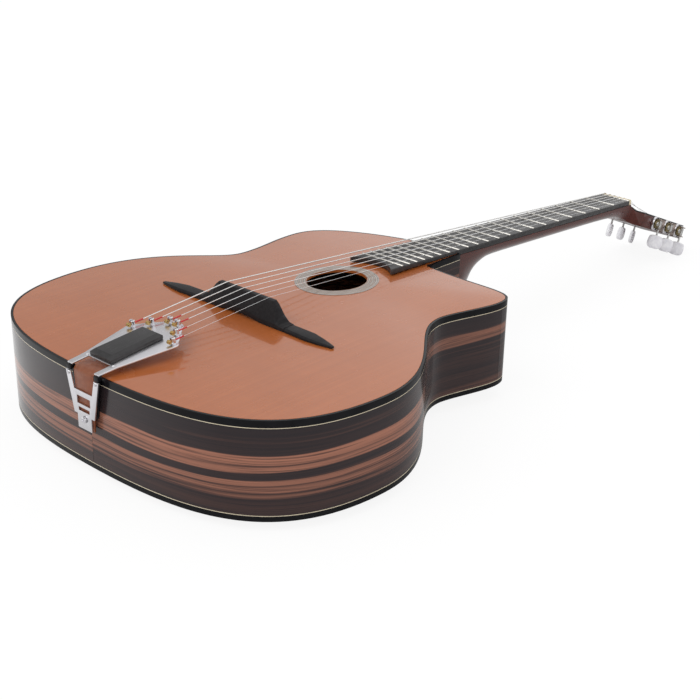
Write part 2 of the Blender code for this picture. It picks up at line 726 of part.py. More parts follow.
def slot_outline():
    half = (SLOT_OUTER - SLOT_INNER) / 2
    middle = (SLOT_OUTER + SLOT_INNER) / 2
    lower = arc((middle, SLOT_START + half), half, 180, 360, 6)
    upper = arc((middle, SLOT_END - half), half, 0, 180, 6)
    return lower + upper


def cut_head(pieces, head_frame):
    """Two slots through the head and its face, and a bore across it for each pair of rollers."""
    for side, sign in SIDES:
        outline = [(sign * x, s) for x, s in slot_outline()]
        cutter = slab(outline, lambda x, s: (x, s, -0.025), lambda x, s: (x, s, 0.010))
        cutter = as_guide(make_object("head_slot_cutter_" + side, *cutter, "neck_wood", head_frame))
        for piece in pieces:
            shape_with(piece, cutter)
    for k in range(3):
        s = ROLLER_START + k * ROLLER_PITCH
        bore = rod(SHAFT_HOLE, (-0.035, s, ROLLER_N), (0.035, s, ROLLER_N), 10)
        bore = as_guide(make_object(f"roller_bore_cutter_{k}", *bore, "neck_wood", head_frame))
        shape_with(pieces[0], bore)


def add_head(head_frame):
    joint = SCARF_S + GAP
    wood, veneer = [], []
    for s in (joint, 0.009, SWOOP_LENGTH, 0.018, 0.0205, HEAD_SHOULDER, HEAD_LENGTH):
        share = 0.65 + 0.35 * min(1, (s - joint) / (SWOOP_LENGTH - joint))
        half, top = head_half(s), head_wood_top(s)
        wood.append(section(mix(ROUND_HALF, SQUARE_HALF, share), half, (s, top), (s, -HEAD_THICKNESS)))
        low, high = top + GAP, top + GAP + HEADPLATE_THICKNESS
        veneer.append([(-half, s, low), (half, s, low), (half, s, high), (-half, s, high)])
    head = make_object("head", *loft(wood), "neck_wood", head_frame)
    face = make_object("headplate", *loft(veneer), "ebony", head_frame)
    cut_head((head, face), head_frame)


# Tuning machines

def gear_outline():
    points = []
    for k in range(GEAR_TEETH):
        for share, radius in ((-0.24, 0.86), (-0.12, 1), (0.12, 1), (0.24, 0.86)):
            angle = 2 * math.pi * (k + share) / GEAR_TEETH
            points.append((radius * GEAR_RADIUS * math.cos(angle), radius * GEAR_RADIUS * math.sin(angle)))
    return points


def turned_ring(x, radius, sides):
    turns = [2 * math.pi * k / sides for k in range(sides)]
    return [(x, radius * math.cos(a), radius * math.sin(a)) for a in turns]


def add_roller(name, sign, location, parent):
    """String roller with its shaft; the worm gear is fixed on the shaft's outer end."""
    rings = [turned_ring(sign * x, radius, 12) for x, radius in ROLLER_PROFILE]
    roller = make_object(name, *loft(rings), "steel", parent, location)
    teeth = loft([[(sign * x, y, z) for y, z in gear_outline()] for x in GEAR_X])
    gear = as_guide(make_object(name + "_gear", *teeth, "steel", parent, location))
    shape_with(roller, gear, 'UNION')


def button_ring(z, half_across, half_thick, sides=10):
    """A rounded oblong, flatter than an ellipse."""
    ring = []
    for k in range(sides):
        angle = 2 * math.pi * (k + 0.5) / sides
        c, s = math.cos(angle), math.sin(angle)
        x = half_across * math.copysign(abs(c) ** 0.6, c)
        y = half_thick * math.copysign(abs(s) ** 0.7, s)
        ring.append((x, y, z))
    return ring


def add_button(name, location, turn, parent):
    """Worm, stem and finger button on one axis, which is the object's own Z."""
    rings = [button_ring(z, radius, radius) for z, radius in WORM_PLACES]
    rings += [button_ring(*place) for place in KNOB_PLACES]
    return make_object(name, *loft(rings), "pearloid", parent, location, (0, 0, turn))


def add_worm_tabs(plate_piece, side, sign, k, parent):
    """The two tabs of a tuner plate that hold a worm between them."""
    worm_s = ROLLER_START + k * ROLLER_PITCH + WORM_OFFSET
    near = PLATE_X[0] + 0.0004
    corners = ((near, -TAB_HALF), (TAB_REACH, -TAB_HALF), (TAB_REACH, TAB_HALF), (near, TAB_HALF))
    outline = [(sign * x, worm_s + s) for x, s in corners]
    for level, start in (("upper", ROLLER_N + WORM_HALF_LENGTH + TAB_GAP),
                         ("lower", ROLLER_N - WORM_HALF_LENGTH - TAB_GAP - TAB_THICKNESS)):
        tab = slab(outline, lambda x, y: (x, y, start), lambda x, y: (x, y, start + TAB_THICKNESS))
        tab = as_guide(make_object(f"worm_tab_{side}_{k}_{level}", *tab, "chrome", parent))
        shape_with(plate_piece, tab, 'UNION')


def drill_tuner_plate(plate_piece, side, sign, k, parent):
    """Holes for a roller's shaft and for a button's stem."""
    s = ROLLER_START + k * ROLLER_PITCH
    shaft = rod(SHAFT_HOLE, (sign * 0.029, s, ROLLER_N), (sign * 0.0325, s, ROLLER_N), 10)
    stem = rod(STEM_RADIUS + 0.0004, (sign * WORM_X, s + WORM_OFFSET, 0.002),
               (sign * WORM_X, s + WORM_OFFSET, -0.022), 8)
    for use, hole in (("shaft", shaft), ("stem", stem)):
        cutter = as_guide(make_object(f"{use}_hole_{side}_{k}", *hole, "chrome", parent))
        shape_with(plate_piece, cutter)


def add_tuner_plate(side, sign, parent):
    first, last = TUNER_PLATE_S[0] + TUNER_PLATE_HALF, TUNER_PLATE_S[1] - TUNER_PLATE_HALF
    outline = arc((first, ROLLER_N), TUNER_PLATE_HALF, 90, 270, 6)
    outline += arc((last, ROLLER_N), TUNER_PLATE_HALF, -90, 90, 6)
    body = loft([[(sign * x, s, n) for s, n in outline] for x in PLATE_X])
    plate_piece = make_object("tuner_plate_" + side, *body, "chrome", parent)
    for k in range(3):
        add_worm_tabs(plate_piece, side, sign, k, parent)
    for k in range(3):
        drill_tuner_plate(plate_piece, side, sign, k, parent)


def add_tuners(head_frame):
    for side, sign, first_number in (("treble", 1, 1), ("bass", -1, 6)):
        add_tuner_plate(side, sign, head_frame)
        for k in range(3):
            number = first_number + sign * k
            s = ROLLER_START + k * ROLLER_PITCH
            add_roller(f"tuner_roller_{number}", sign, (0, s, ROLLER_N), head_frame)
            add_button(f"tuner_button_{number}", (sign * WORM_X, s + WORM_OFFSET, ROLLER_N),
                       BUTTON_TURNS[side][k], head_frame)


# Bridge

def resting(x, y, thickness):
    """Heights of the foot and the upper face of a piece that rests on the top."""
    base = top_surface(x, y) + RESTING_GAP
    return base, base + thickness


def add_bridge(guitar):
    """A hollow-footed bridge that leans towards the neck. Each station: x, top, rise of the foot."""
    half = ((0.0585, 0.0980, 0), (0.0530, 0.0990, 0), (0.0470, 0.1040, 0), (0.0400, 0.1130, 0),
            (0.0365, BRIDGE_CREST, 0), (0.0260, BRIDGE_CREST, 0), (0.0200, BRIDGE_CREST, 0.0012),
            (0.0120, BRIDGE_CREST, 0.0022), (0, BRIDGE_CREST, 0.0026))
    stations = [(-x, top, rise) for x, top, rise in half]
    stations += [(x, top, rise) for x, top, rise in reversed(half[:-1])]
    tail_edge, neck_edge = BRIDGE_Y
    sections = []
    for x, top, rise in stations:
        low_tail = resting(x, tail_edge, 0)[0] + rise
        low_neck = resting(x, neck_edge, 0)[0] + rise
        shoulder = min(BRIDGE_SHOULDER, (top - low_tail) * 0.8)
        lean = min(BRIDGE_LEAN, (top - low_tail - shoulder) * 1.2)
        sections.append([(x, tail_edge, low_tail), (x, neck_edge, low_neck),
                         (x, neck_edge, low_neck + shoulder),
                         (x, neck_edge - 0.0008, top), (x, tail_edge + lean, top),
                         (x, tail_edge, low_tail + shoulder)])
    make_object("bridge", *loft(sections), "ebony", guitar, smooth=25)


def add_moustaches(guitar):
    """Blades that lie on the top beside the bridge: parallel at first, then tapering to a blunt tip."""
    for side, sign in SIDES:
        sections = []
        for x, y_tail, y_neck, thickness in MOUSTACHE_STATIONS:
            x *= sign
            bevel = (y_neck - y_tail) * 0.10
            low_tail, high_tail = resting(x, y_tail, thickness)
            low_neck, high_neck = resting(x, y_neck, thickness)
            sections.append([(x, y_tail, low_tail), (x, y_neck, low_neck),
                             (x, y_neck, low_neck + 0.6 * thickness),
                             (x, y_neck - bevel, high_neck), (x, y_tail + bevel, high_tail),
                             (x, y_tail, low_tail + 0.6 * thickness)])
        make_object("moustache_" + side, *loft(sections), "ebony", guitar, smooth=25)


# Tailpiece

def tailplate(y, offset=0.0):
    return TAILPLATE_Z + TAILPLATE_RISE * y + offset


def tailplate_outline():
    """Two arms round the leather strap, then a plate whose front is scalloped round the posts."""
    right = [(0.0150, -0.0045), (0.0215, -0.0045), (0.0225, 0.0140), (0.0328, 0.0660)]
    for centre, first, last in zip(POST_PLACES, (-15, 5, 10), (75, 80, 95)):
        right += arc(centre, LOBE_RADIUS, first, last, 5)
    left = [(-x, y) for x, y in reversed(right)]
    return right + left + [(-0.0150, 0.0130), (0.0150, 0.0130)]


def prong_outline(x, y, prong):
    """One of the two prongs that hold a string at its post."""
    near, far = x + prong * PRONG_X[0], x + prong * PRONG_X[1]
    back, front = y + PRONG_Y[0], y + PRONG_Y[1]
    return [(near, back), (far, back), (far, front), (near, front)]


def add_tailpiece_frame(guitar):
    half = TAILPLATE_THICKNESS / 2
    body = slab(tailplate_outline(), lambda x, y: (x, y, tailplate(y, -half)),
                lambda x, y: (x, y, tailplate(y, half)))
    frame = make_object("tailpiece_frame", *body, "chrome", guitar)
    for k, (x, y) in enumerate(POST_PLACES):
        for side in (-1, 1):
            for prong in (-1, 1):
                post = slab(prong_outline(side * x, y, prong), lambda px, py: (px, py, tailplate(py)),
                            lambda px, py: (px, py, tailplate(py, half + POST_HEIGHT)))
                post = as_guide(make_object(f"post_{k}_{side}_{prong}", *post, "chrome", guitar))
                shape_with(frame, post, 'UNION')


def xz_slab(outline, y_front, y_back):
    return loft([[(x, y, z) for x, z in outline] for y in (y_front, y_back)])


def add_hanger(guitar):
    """The steel strip with two windows that hangs from the hinges to the screw."""
    right = [(0.0160, 0.0905), (0.0222, 0.0905), (0.0138, 0.0530), (0.0094, 0.0530), (0.0094, PAD_FOOT_Z)]
    outline = right + [(-x, z) for x, z in reversed(right)] + [(-0.0123, 0.0755), (0.0123, 0.0755)]
    hanger = make_object("tailpiece_hanger", *xz_slab(outline, *HANGER_Y), "chrome", guitar)
    for name, half, low, high in (("upper", 0.0090, 0.0630, 0.0705), ("lower", 0.0075, 0.0565, 0.0600)):
        window = xz_slab([(-half, low), (half, low), (half, high), (-half, high)], -0.008, -0.003)
        cutter = as_guide(make_object("hanger_window_cutter_" + name, *window, "chrome", guitar))
        shape_with(hanger, cutter)
    return hanger


def pad_half(z):
    """Half width of the leather, which narrows below the body's edge."""
    return PAD_HALF - PAD_NARROWING * max(0.0, min(1.0, (0.090 - z) / 0.050))


def add_pad(guitar):
    """The leather strap over the body's edge, and the dark backing behind it."""
    profile = [(0.0120, 0.0966), (0.0, 0.0964), (-0.0028, 0.0953), (-0.0042, 0.0935), (-0.0046, 0.0910),
               (-0.0046, PAD_FOOT_Z), (-0.0029, PAD_FOOT_Z), (-0.0029, 0.0892), (-0.0004, 0.0892),
               (-0.0004, 0.0926), (0.0120, 0.0930)]
    rings = [[(side * pad_half(z), y, z) for y, z in profile] for side in (-1, 1)]
    pad = make_object("tailpiece_pad", *loft(rings), "leather", guitar)
    outline = [(0.0180, 0.0886), (0.0130, 0.0530), (-0.0130, 0.0530), (-0.0180, 0.0886)]
    make_object("tailpiece_backing", *xz_slab(outline, -0.0026, -0.0004), "ebony", guitar)
    return pad


def add_tail_screw(guitar, drilled):
    """The screw in the tail block. Each step of its profile: y and radius."""
    bore = rod(SCREW_BORE_RADIUS, (0, -0.010, SCREW_Z), (0, 0.016, SCREW_Z), SCREW_SIDES)
    bore = as_guide(make_object("screw_bore_cutter", *bore, "chrome", guitar))
    for piece in drilled:
        shape_with(piece, bore)
    profile = ((-0.0082, 0.0018), (-0.0076, 0.0032), (-0.0066, 0.0034), (-0.0066, 0.0018), (0.0125, 0.0018),
               (0.0140, 0.0006))
    turns = [2 * math.pi * k / SCREW_SIDES for k in range(SCREW_SIDES)]
    rings = [[(radius * math.cos(a), y, SCREW_Z + radius * math.sin(a)) for a in turns]
             for y, radius in profile]
    make_object("tailpiece_screw", *loft(rings), "chrome", guitar)


def add_hinge_blocks(guitar):
    for side, sign in SIDES:
        outline = [(sign * x, y) for x, y in ((0.0156, -0.0058), (0.0214, -0.0058), (0.0214, -0.0010),
                                              (0.0156, -0.0010))]
        block = slab(outline, lambda x, y: (x, y, 0.0924 if y > -0.002 else 0.0910),
                     lambda x, y: (x, y, 0.0954))
        make_object("hinge_block_" + side, *block, "black_binding", guitar)


def add_tailpiece_strap(guitar, drilled):
    """Hanger, strap and backing at the tail, and the screw that holds them on the tail block."""
    hanger = add_hanger(guitar)
    pad = add_pad(guitar)
    add_tail_screw(guitar, (hanger, pad, *drilled))
    add_hinge_blocks(guitar)


def add_tailpiece_insert(guitar):
    rings = []
    base = TAILPLATE_THICKNESS / 2 + GAP
    for shrink, lift in ((0, 0), (0, 0.0032), (0.0036, 0.0060)):
        outline = [(0.0146 - shrink, 0.0140 + shrink), (0.0136 - shrink, 0.0715 - shrink)]
        outline += [(-x, y) for x, y in reversed(outline)]
        rings.append([(x, y, tailplate(y, base + lift)) for x, y in outline])
    make_object("tailpiece_insert", *loft(rings), "ebony", guitar, smooth=10)


# Strings

def tube(path, radii):
    """A round skin round a path that runs roughly along Y."""
    path = [Vector(point) for point in path]
    rings = []
    for i, point in enumerate(path):
        along = (path[min(i + 1, len(path) - 1)] - path[max(i - 1, 0)]).normalized()
        across = along.cross(Vector((0, 0, 1))).normalized()
        up = across.cross(along)
        turns = [2 * math.pi * k / STRING_SIDES for k in range(STRING_SIDES)]
        rings.append([point + radii[i] * (across * math.cos(a) + up * math.sin(a)) for a in turns])
    return loft(rings)


def add_strings(guitar):
    """Number 1 is the thin string on the treble side. Each keeps its ball end and its silk."""
    clear = STRING_CLEARANCE
    for number in range(1, 7):
        sign = 1 if number <= 3 else -1
        k = number - 1 if number <= 3 else 6 - number
        radius = STRING_DIAMETERS[number - 1] / 2
        x_post, y_post = sign * POST_PLACES[k][0], POST_PLACES[k][1]
        ball_front = y_post + PRONG_Y[0] - clear
        over_nut = fret_plane(ZERO_FRET_Y) + clear + radius
        roller = head_point(sign * STRING_AT_ROLLER[k], ROLLER_START + k * ROLLER_PITCH,
                            ROLLER_N + BARREL_RADIUS + clear + radius)
        z_post = tailplate(y_post, TAILPLATE_THICKNESS / 2 + STRING_OVER_PLATE)
        saddle = Vector((sign * STRING_SPREAD_BRIDGE[k], SADDLE_Y, STRING_AT_BRIDGE - 0.0006 + radius))
        start = Vector((x_post, ball_front, z_post))
        towards = (saddle - start).normalized()
        path = [start - Vector((0, BALL_LENGTH, 0)), start, start,
                start + towards * SILK_LENGTH, start + towards * SILK_LENGTH, saddle,
                (sign * STRING_SPREAD_NUT[k], ZERO_FRET_Y, over_nut),
                (sign * STRING_SPREAD_NUT[k], BOARD_NUT_Y + 0.0040, over_nut - 0.0001), roller]
        silk = max(SILK_RADIUS, radius + 0.00015)
        radii = [BALL_RADIUS, BALL_RADIUS, silk, silk, radius, radius, radius, radius, radius]
        make_object(f"string_{number}", *loft_tube(path, radii), "steel", guitar)


def loft_tube(path, radii):
    """A tube whose steps in radius are square, though two of its points coincide."""
    spread = 0.0001
    points = [Vector(point) for point in path]
    for i in range(1, len(points)):
        if (points[i] - points[i - 1]).length < spread:
            points[i] = points[i - 1] + (points[i - 1] - points[i - 2]).normalized() * spread
    return tube(points, radii)


# Laying the guitar down

def evaluated_points(names=None):
    bpy.context.view_layer.update()
    graph = bpy.context.evaluated_depsgraph_get()
    points = []
    for piece in bpy.data.objects:
        if piece.type != 'MESH' or piece.hide_render:
            continue
        if names is not None and not piece.name.startswith(names):
            continue
        final = piece.evaluated_get(graph)
        mesh = final.to_mesh()
        points += [final.matrix_world @ vertex.co for vertex in mesh.vertices]
        final.to_mesh_clear()
    return points


def lay_down(guitar):
    """Tilt until the arched back and the lowest button stand level; centre the box on the origin."""
    for attempt in range(3):
        back = min(evaluated_points(("back_plate",)), key=lambda point: point.z)
        button = min(evaluated_points(("tuner_button",)), key=lambda point: point.z)
        guitar.rotation_euler.x += math.atan2(back.z - button.z, button.y - back.y)
    points = evaluated_points()
    low = [min(point[axis] for point in points) for axis in range(3)]
    high = [max(point[axis] for point in points) for axis in range(3)]
    guitar.location -= Vector(((low[0] + high[0]) / 2, (low[1] + high[1]) / 2, low[2]))


def main():
    clear_scene()
    guitar = make_empty("guitar")
    head_frame = make_empty("head_frame", guitar, (0, *HEAD_ORIGIN), (-HEAD_SLOPE, 0, 0))
    add_plates(guitar)
    ribs = add_ribs(guitar)
    add_bindings(guitar)
    add_linings(guitar)
    tail_block = add_blocks(guitar)
    add_braces(guitar)
    add_rosette(guitar)
    add_neck(guitar)
    add_fingerboard(guitar)
    add_nut(guitar)
    add_head(head_frame)
    add_tuners(head_frame)
    add_bridge(guitar)
    add_moustaches(guitar)
    add_tailpiece_frame(guitar)
    add_tailpiece_insert(guitar)
    add_tailpiece_strap(guitar, (ribs["bass_rib"], ribs["treble_rib"], tail_block))
    add_strings(guitar)
    lay_down(guitar)


main()
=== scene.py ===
"""Finish and fine detail of a gypsy jazz guitar, built round its packed construction.

Pieces are modelled in the guitar's own frame, with +Y from the tail to the head, +X towards the
treble side with the cutaway, and z = 0 at the edge of the back. Small parts of the head use the
head's frame: x across, y along the head from the nut and z out of its face. Each finished piece
is then laid down where the construction lies. Lengths are in metres.
"""

import json
import math

import bmesh
import bpy
from bpy.props import FloatProperty, FloatVectorProperty, PointerProperty
from mathutils import Matrix, Vector


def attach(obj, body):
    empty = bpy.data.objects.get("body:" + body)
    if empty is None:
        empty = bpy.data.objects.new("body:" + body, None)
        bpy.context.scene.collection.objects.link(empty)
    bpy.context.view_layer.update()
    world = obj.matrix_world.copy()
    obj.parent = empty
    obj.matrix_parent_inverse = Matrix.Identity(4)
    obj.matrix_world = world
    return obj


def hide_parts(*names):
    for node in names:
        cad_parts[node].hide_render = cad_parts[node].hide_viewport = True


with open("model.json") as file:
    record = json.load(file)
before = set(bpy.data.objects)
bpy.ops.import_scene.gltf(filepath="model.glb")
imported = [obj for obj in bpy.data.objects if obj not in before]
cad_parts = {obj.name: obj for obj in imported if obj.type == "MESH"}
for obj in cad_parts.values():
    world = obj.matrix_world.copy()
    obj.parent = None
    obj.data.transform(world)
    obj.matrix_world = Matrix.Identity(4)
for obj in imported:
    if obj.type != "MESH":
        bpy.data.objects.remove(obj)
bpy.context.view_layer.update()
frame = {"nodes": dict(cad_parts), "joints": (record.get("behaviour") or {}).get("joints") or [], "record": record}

bl_info = {
    "name": "Gypsy jazz guitar",
    "version": (1, 0, 0),
    "blender": (4, 5, 0),
    "location": "3D View > Sidebar > Guitar",
    "description": "Builds the finish and the fine detail of an oval-hole jazz guitar",
    "category": "Object",
}

# Construction sizes that the finish repeats
HEAD_SLOPE = math.radians(21.4)
HEAD_FACE = Vector((0, 0.8320, 0.0579))     # the head's face under the nut
ROLLER_S = 0.0530                           # first roller from the nut, along the head
ROLLER_PITCH = 0.0325
ROLLER_N = -0.0093                          # roller axis below the head's face
BARREL_RADIUS = 0.0050
WORM_X = 0.0343
WORM_OFFSET = 0.0090
GEAR_FACE = 0.0353
TAIL_DEPTH = 0.0921
JOINT_DEPTH = 0.0880
BODY_LENGTH = 0.4704
TOP_BINDING = 0.0065
BACK_BINDING = 0.0050
HOLE_Y = 0.3067
HOLE_HALF = (0.0280, 0.0330)
ROSETTE_GROWTH = (1.411, 1.355)
ZERO_FRET_Y = 0.8252
SADDLE_Y = 0.1854
SADDLE_Z = 0.1162
FRETS = 21
FRET_PLANE = 0.0930                         # fret crowns at the neck joint
FRET_SLOPE = 0.0648
FRET_HEIGHT = 0.0010                        # fret crowns above the board
BOARD_NUT_Y = 0.8268
NUT_HALF = 0.0205
BOARD_TAPER = 0.01607
TAILPLATE_Z = 0.0970
TAILPLATE_RISE = 0.10
TAILPLATE_HALF = 0.0007
POSTS = ((0.0276, 0.0700), (0.0166, 0.0830), (0.00505, 0.0950))
STRING_OVER_PLATE = 0.0037
SPREAD_SADDLE = (0.0279, 0.0167, 0.0056)
SPREAD_NUT = (0.0175, 0.0105, 0.0035)
STRING_RADII = (0.00014, 0.00019, 0.000305, 0.00038, 0.00047, 0.000585)
WOUND_FROM = 4                              # strings 4 to 6 are wound
SIDES = {"treble": 1, "bass": -1}
RIGHT_ANGLE = math.radians(90)


# Sizes, colours and the studio

class GuitarSizes(bpy.types.PropertyGroup):
    """Sizes of the fine detail."""
    purfling: FloatProperty(
        name="Cream line", description="Height of the cream line beside each binding",
        default=0.0006, min=0.0003, max=0.003, unit='LENGTH')
    fret_width: FloatProperty(
        name="Fret width", description="Width of a fret's crown",
        default=0.0023, min=0.001, max=0.004, unit='LENGTH')
    edge: FloatProperty(
        name="Edge rounding", description="Radius of the rounded edges of wood and metal",
        default=0.0004, min=0.0001, max=0.001, unit='LENGTH')
    silk_length: FloatProperty(
        name="Silk", description="Length of the coloured silk at a string's ball end",
        default=0.0145, min=0.005, max=0.03, unit='LENGTH')
    ball_radius: FloatProperty(
        name="Ball end", description="Radius of a string's ball end",
        default=0.0019, min=0.001, max=0.0025, unit='LENGTH')


def colour_property(name, description, default):
    return FloatVectorProperty(name=name, description=description, default=default, size=3,
                               subtype='COLOR', min=0.0, max=1.0)


class GuitarColours(bpy.types.PropertyGroup):
    """Colours of the finishes, as written in a Principled shader."""
    cedar: colour_property("Cedar", "Lacquered cedar of the top", (0.49, 0.138, 0.036))
    cedar_line: colour_property("Cedar grain", "Late wood lines in the cedar", (0.38, 0.098, 0.023))
    ebony: colour_property("Ebony", "Board, bridge and tailpiece insert", (0.016, 0.015, 0.016))
    macassar: colour_property("Macassar", "Dark wood of the back and sides", (0.024, 0.019, 0.022))
    stripe: colour_property("Macassar stripe", "Brown figure of the back and sides", (0.400, 0.168, 0.108))
    neck: colour_property("Neck", "Stained mahogany of the neck and head", (0.095, 0.018, 0.012))
    spruce: colour_property("Spruce", "Bare wood of the braces and linings", (0.70, 0.53, 0.33))
    binding: colour_property("Binding", "Black binding", (0.005, 0.005, 0.006))
    cream: colour_property("Cream", "Cream lines beside the bindings", (0.78, 0.68, 0.50))
    leather: colour_property("Leather", "Leather of the tail strap", (0.310, 0.078, 0.026))
    silk: colour_property("Silk", "Wrapping at the ball ends", (0.82, 0.025, 0.035))
    metal: colour_property("Bright metal", "Plated tailpiece and tuners", (0.82, 0.81, 0.84))


class GuitarStudio(bpy.types.PropertyGroup):
    """Camera, floor and light."""
    camera_place: FloatVectorProperty(
        name="Camera", description="Where the camera stands", size=3, subtype='TRANSLATION',
        unit='LENGTH', default=(0.83909, -1.0842, 0.55061))
    camera_turn: FloatVectorProperty(
        name="Camera turn", description="How the camera is turned", size=3, subtype='EULER',
        default=tuple(math.radians(angle) for angle in (67.3216, -1.8621, 42.6286)))
    lens: FloatProperty(
        name="Lens", description="Focal length in millimetres", default=67.657, min=10, max=300)
    floor: FloatProperty(
        name="Floor", description="Width of the floor", default=12.0, min=2, max=50, unit='LENGTH')
    sky: FloatProperty(
        name="Sky", description="Strength of the light from all around", default=0.82, min=0, max=2)
    lamp: FloatProperty(
        name="Lamp", description="Strength of the large soft lamp", default=0.55, min=0, max=5)


# Frames of the guitar and of its head

def head_matrix():
    """From the head's frame to the guitar's."""
    return Matrix.Translation(HEAD_FACE) @ Matrix.Rotation(-HEAD_SLOPE, 4, 'X')


def laid_matrix():
    """From the guitar's frame to the place where it lies, found from the first button's joint."""
    joint = next(joint for joint in frame["joints"] if joint["name"] == "button_1_turn")
    axis = Vector(joint["axis"])
    tilt = HEAD_SLOPE - math.atan2(-axis.y, -axis.z)
    turn = Matrix.Rotation(tilt, 4, 'X')
    worm = head_matrix() @ Vector((WORM_X, ROLLER_S + WORM_OFFSET, ROLLER_N))
    return Matrix.Translation(Vector(joint["pos_m"]) - turn @ worm) @ turn


LAID = laid_matrix()
HEAD = LAID @ head_matrix()


def edge_height(y):
    """Height of the top's edge, which falls a little from the tail to the neck."""
    return TAIL_DEPTH + (JOINT_DEPTH - TAIL_DEPTH) * y / BODY_LENGTH


def fret_plane(y):
    """Height of the fret crowns, which rises from the head towards the body's tail."""
    return FRET_PLANE + FRET_SLOPE * (BODY_LENGTH - y)


def board_half(y):
    """Half the board's width, which tapers towards the nut."""
    return NUT_HALF + BOARD_TAPER * (BOARD_NUT_Y - y)


def fret_y(k):
    """Place of a fret, each a twelfth of an octave from the last."""
    return ZERO_FRET_Y - (ZERO_FRET_Y - SADDLE_Y) * (1 - 2 ** (-k / 12))


def tailplate(y):
    """Height of the middle of the tailpiece's plate, which slopes."""
    return TAILPLATE_Z + TAILPLATE_RISE * y


# Modelling helpers

MERGE_DISTANCE = 1e-6
FACING = 0.9                                # least part of a normal along the way it faces


def activate(piece):
    bpy.ops.object.select_all(action='DESELECT')
    piece.select_set(True)
    bpy.context.view_layer.objects.active = piece
    return piece


def take_primitive(kind, **settings):
    """A new primitive, alone selected."""
    bpy.ops.object.select_all(action='DESELECT')
    getattr(bpy.ops.mesh, f"primitive_{kind}_add")(**settings)
    return bpy.context.active_object


def open_mesh(piece, kind='FACE', select='DESELECT'):
    """Edit mode with nothing selected, or all of it."""
    activate(piece)
    bpy.ops.object.mode_set(mode='EDIT')
    bpy.ops.mesh.select_mode(type=kind)
    bpy.ops.mesh.select_all(action=select)


def close_mesh():
    bpy.ops.object.mode_set(mode='OBJECT')


def pick_faces(piece, test):
    """Select the faces, in edit mode, whose middle and normal pass a test."""
    shape = bmesh.from_edit_mesh(piece.data)
    for face in shape.faces:
        face.select_set(test(face.calc_center_median(), face.normal))
    bmesh.update_edit_mesh(piece.data)


def move_points(piece, place):
    """Give each point of a mesh the place that a rule says."""
    for point in piece.data.vertices:
        point.co = place(point.co.copy())


def modify(piece, kind, **settings):
    """Add a modifier and apply it."""
    activate(piece)
    modifier = piece.modifiers.new(kind.lower(), kind)
    for name, value in settings.items():
        setattr(modifier, name, value)
    bpy.ops.object.modifier_apply(modifier=modifier.name)
    return piece


def throw_away(piece):
    bpy.data.objects.remove(piece, do_unlink=True)


def cut(piece, tool):
    """Cut a piece with a tool, and throw the tool away."""
    modify(piece, 'BOOLEAN', object=tool, operation='DIFFERENCE', solver='EXACT')
    throw_away(tool)
    return piece


def settle(piece):
    """Put a piece's place, turn and size into its mesh."""
    activate(piece)
    bpy.ops.object.transform_apply(location=True, rotation=True, scale=True)
    return piece


def copy_piece(piece):
    activate(piece)
    bpy.ops.object.duplicate()
    return bpy.context.active_object


def place_copy(pattern, matrix):
    piece = copy_piece(pattern)
    piece.data.transform(matrix)
    return piece


def take_block(size, place, turn=(0, 0, 0)):
    """A block of the given size, as a tool to cut with."""
    block = take_primitive("cube", size=1.0, location=place, rotation=turn)
    block.scale = size
    return settle(block)


def keep_top_half(piece):
    """Cut away what lies below the XY plane, and close the cut."""
    open_mesh(piece, select='SELECT')
    bpy.ops.mesh.bisect(plane_co=(0, 0, 0), plane_no=(0, 0, 1), clear_inner=True, use_fill=True)
    close_mesh()


def take_node(node, space=None, flat=1.0):
    """A merged copy of a construction node, in the guitar's frame or in the head's.

    Faces that bend by less than flat degrees become one face. With None, pairs of triangles
    become quads.
    """
    source = frame["nodes"][node]
    piece = bpy.data.objects.new(node + "_copy", source.data.copy())
    bpy.context.scene.collection.objects.link(piece)
    piece.data.transform((space or LAID).inverted())
    open_mesh(piece, select='SELECT')
    bpy.ops.mesh.customdata_custom_splitnormals_clear()
    bpy.ops.mesh.remove_doubles(threshold=MERGE_DISTANCE)
    if flat:
        bpy.ops.mesh.dissolve_limited(angle_limit=math.radians(flat))
    else:
        bpy.ops.mesh.tris_convert_to_quads(face_threshold=math.radians(30),
                                           shape_threshold=math.radians(50))
    close_mesh()
    return piece


def crease_corners(piece, angle):
    """Hold the edges that are sharper than an angle, in degrees, when the mesh is subdivided."""
    shape = bmesh.new()
    shape.from_mesh(piece.data)
    layers = shape.edges.layers.float
    crease = layers.get("crease_edge") or layers.new("crease_edge")
    for edge in shape.edges:
        sharp = len(edge.link_faces) != 2 or edge.calc_face_angle() > math.radians(angle)
        edge[crease] = 1.0 if sharp else 0.0
    shape.to_mesh(piece.data)
    shape.free()


def curve_smoothly(piece, angle=40):
    """Subdivide a mesh twice, with its corners sharper than an angle in degrees held."""
    crease_corners(piece, angle)
    return modify(piece, 'SUBSURF', levels=2, render_levels=2)


def round_edges(piece, radius, segments=2, angle=35):
    """Round the edges that are sharper than an angle in degrees."""
    return modify(piece, 'BEVEL', width=radius, segments=segments, limit_method='ANGLE',
                  angle_limit=math.radians(angle), use_clamp_overlap=True)


MADE = {}


def made_once(maker, *given):
    """What a maker of a material or a node group makes, made at its first use."""
    if maker not in MADE:
        MADE[maker] = maker(*given)
    return MADE[maker]


def give_surfaces(piece, *makers):
    """Give a piece the materials of these makers, in their order."""
    piece.data.materials.clear()
    for maker in makers:
        piece.data.materials.append(made_once(maker, bpy.context.scene.guitar_colours))


def use_second_surface(piece, test):
    """Give the second of a piece's surfaces to the faces that pass a test."""
    for face in piece.data.polygons:
        face.material_index = 1 if test(face) else 0


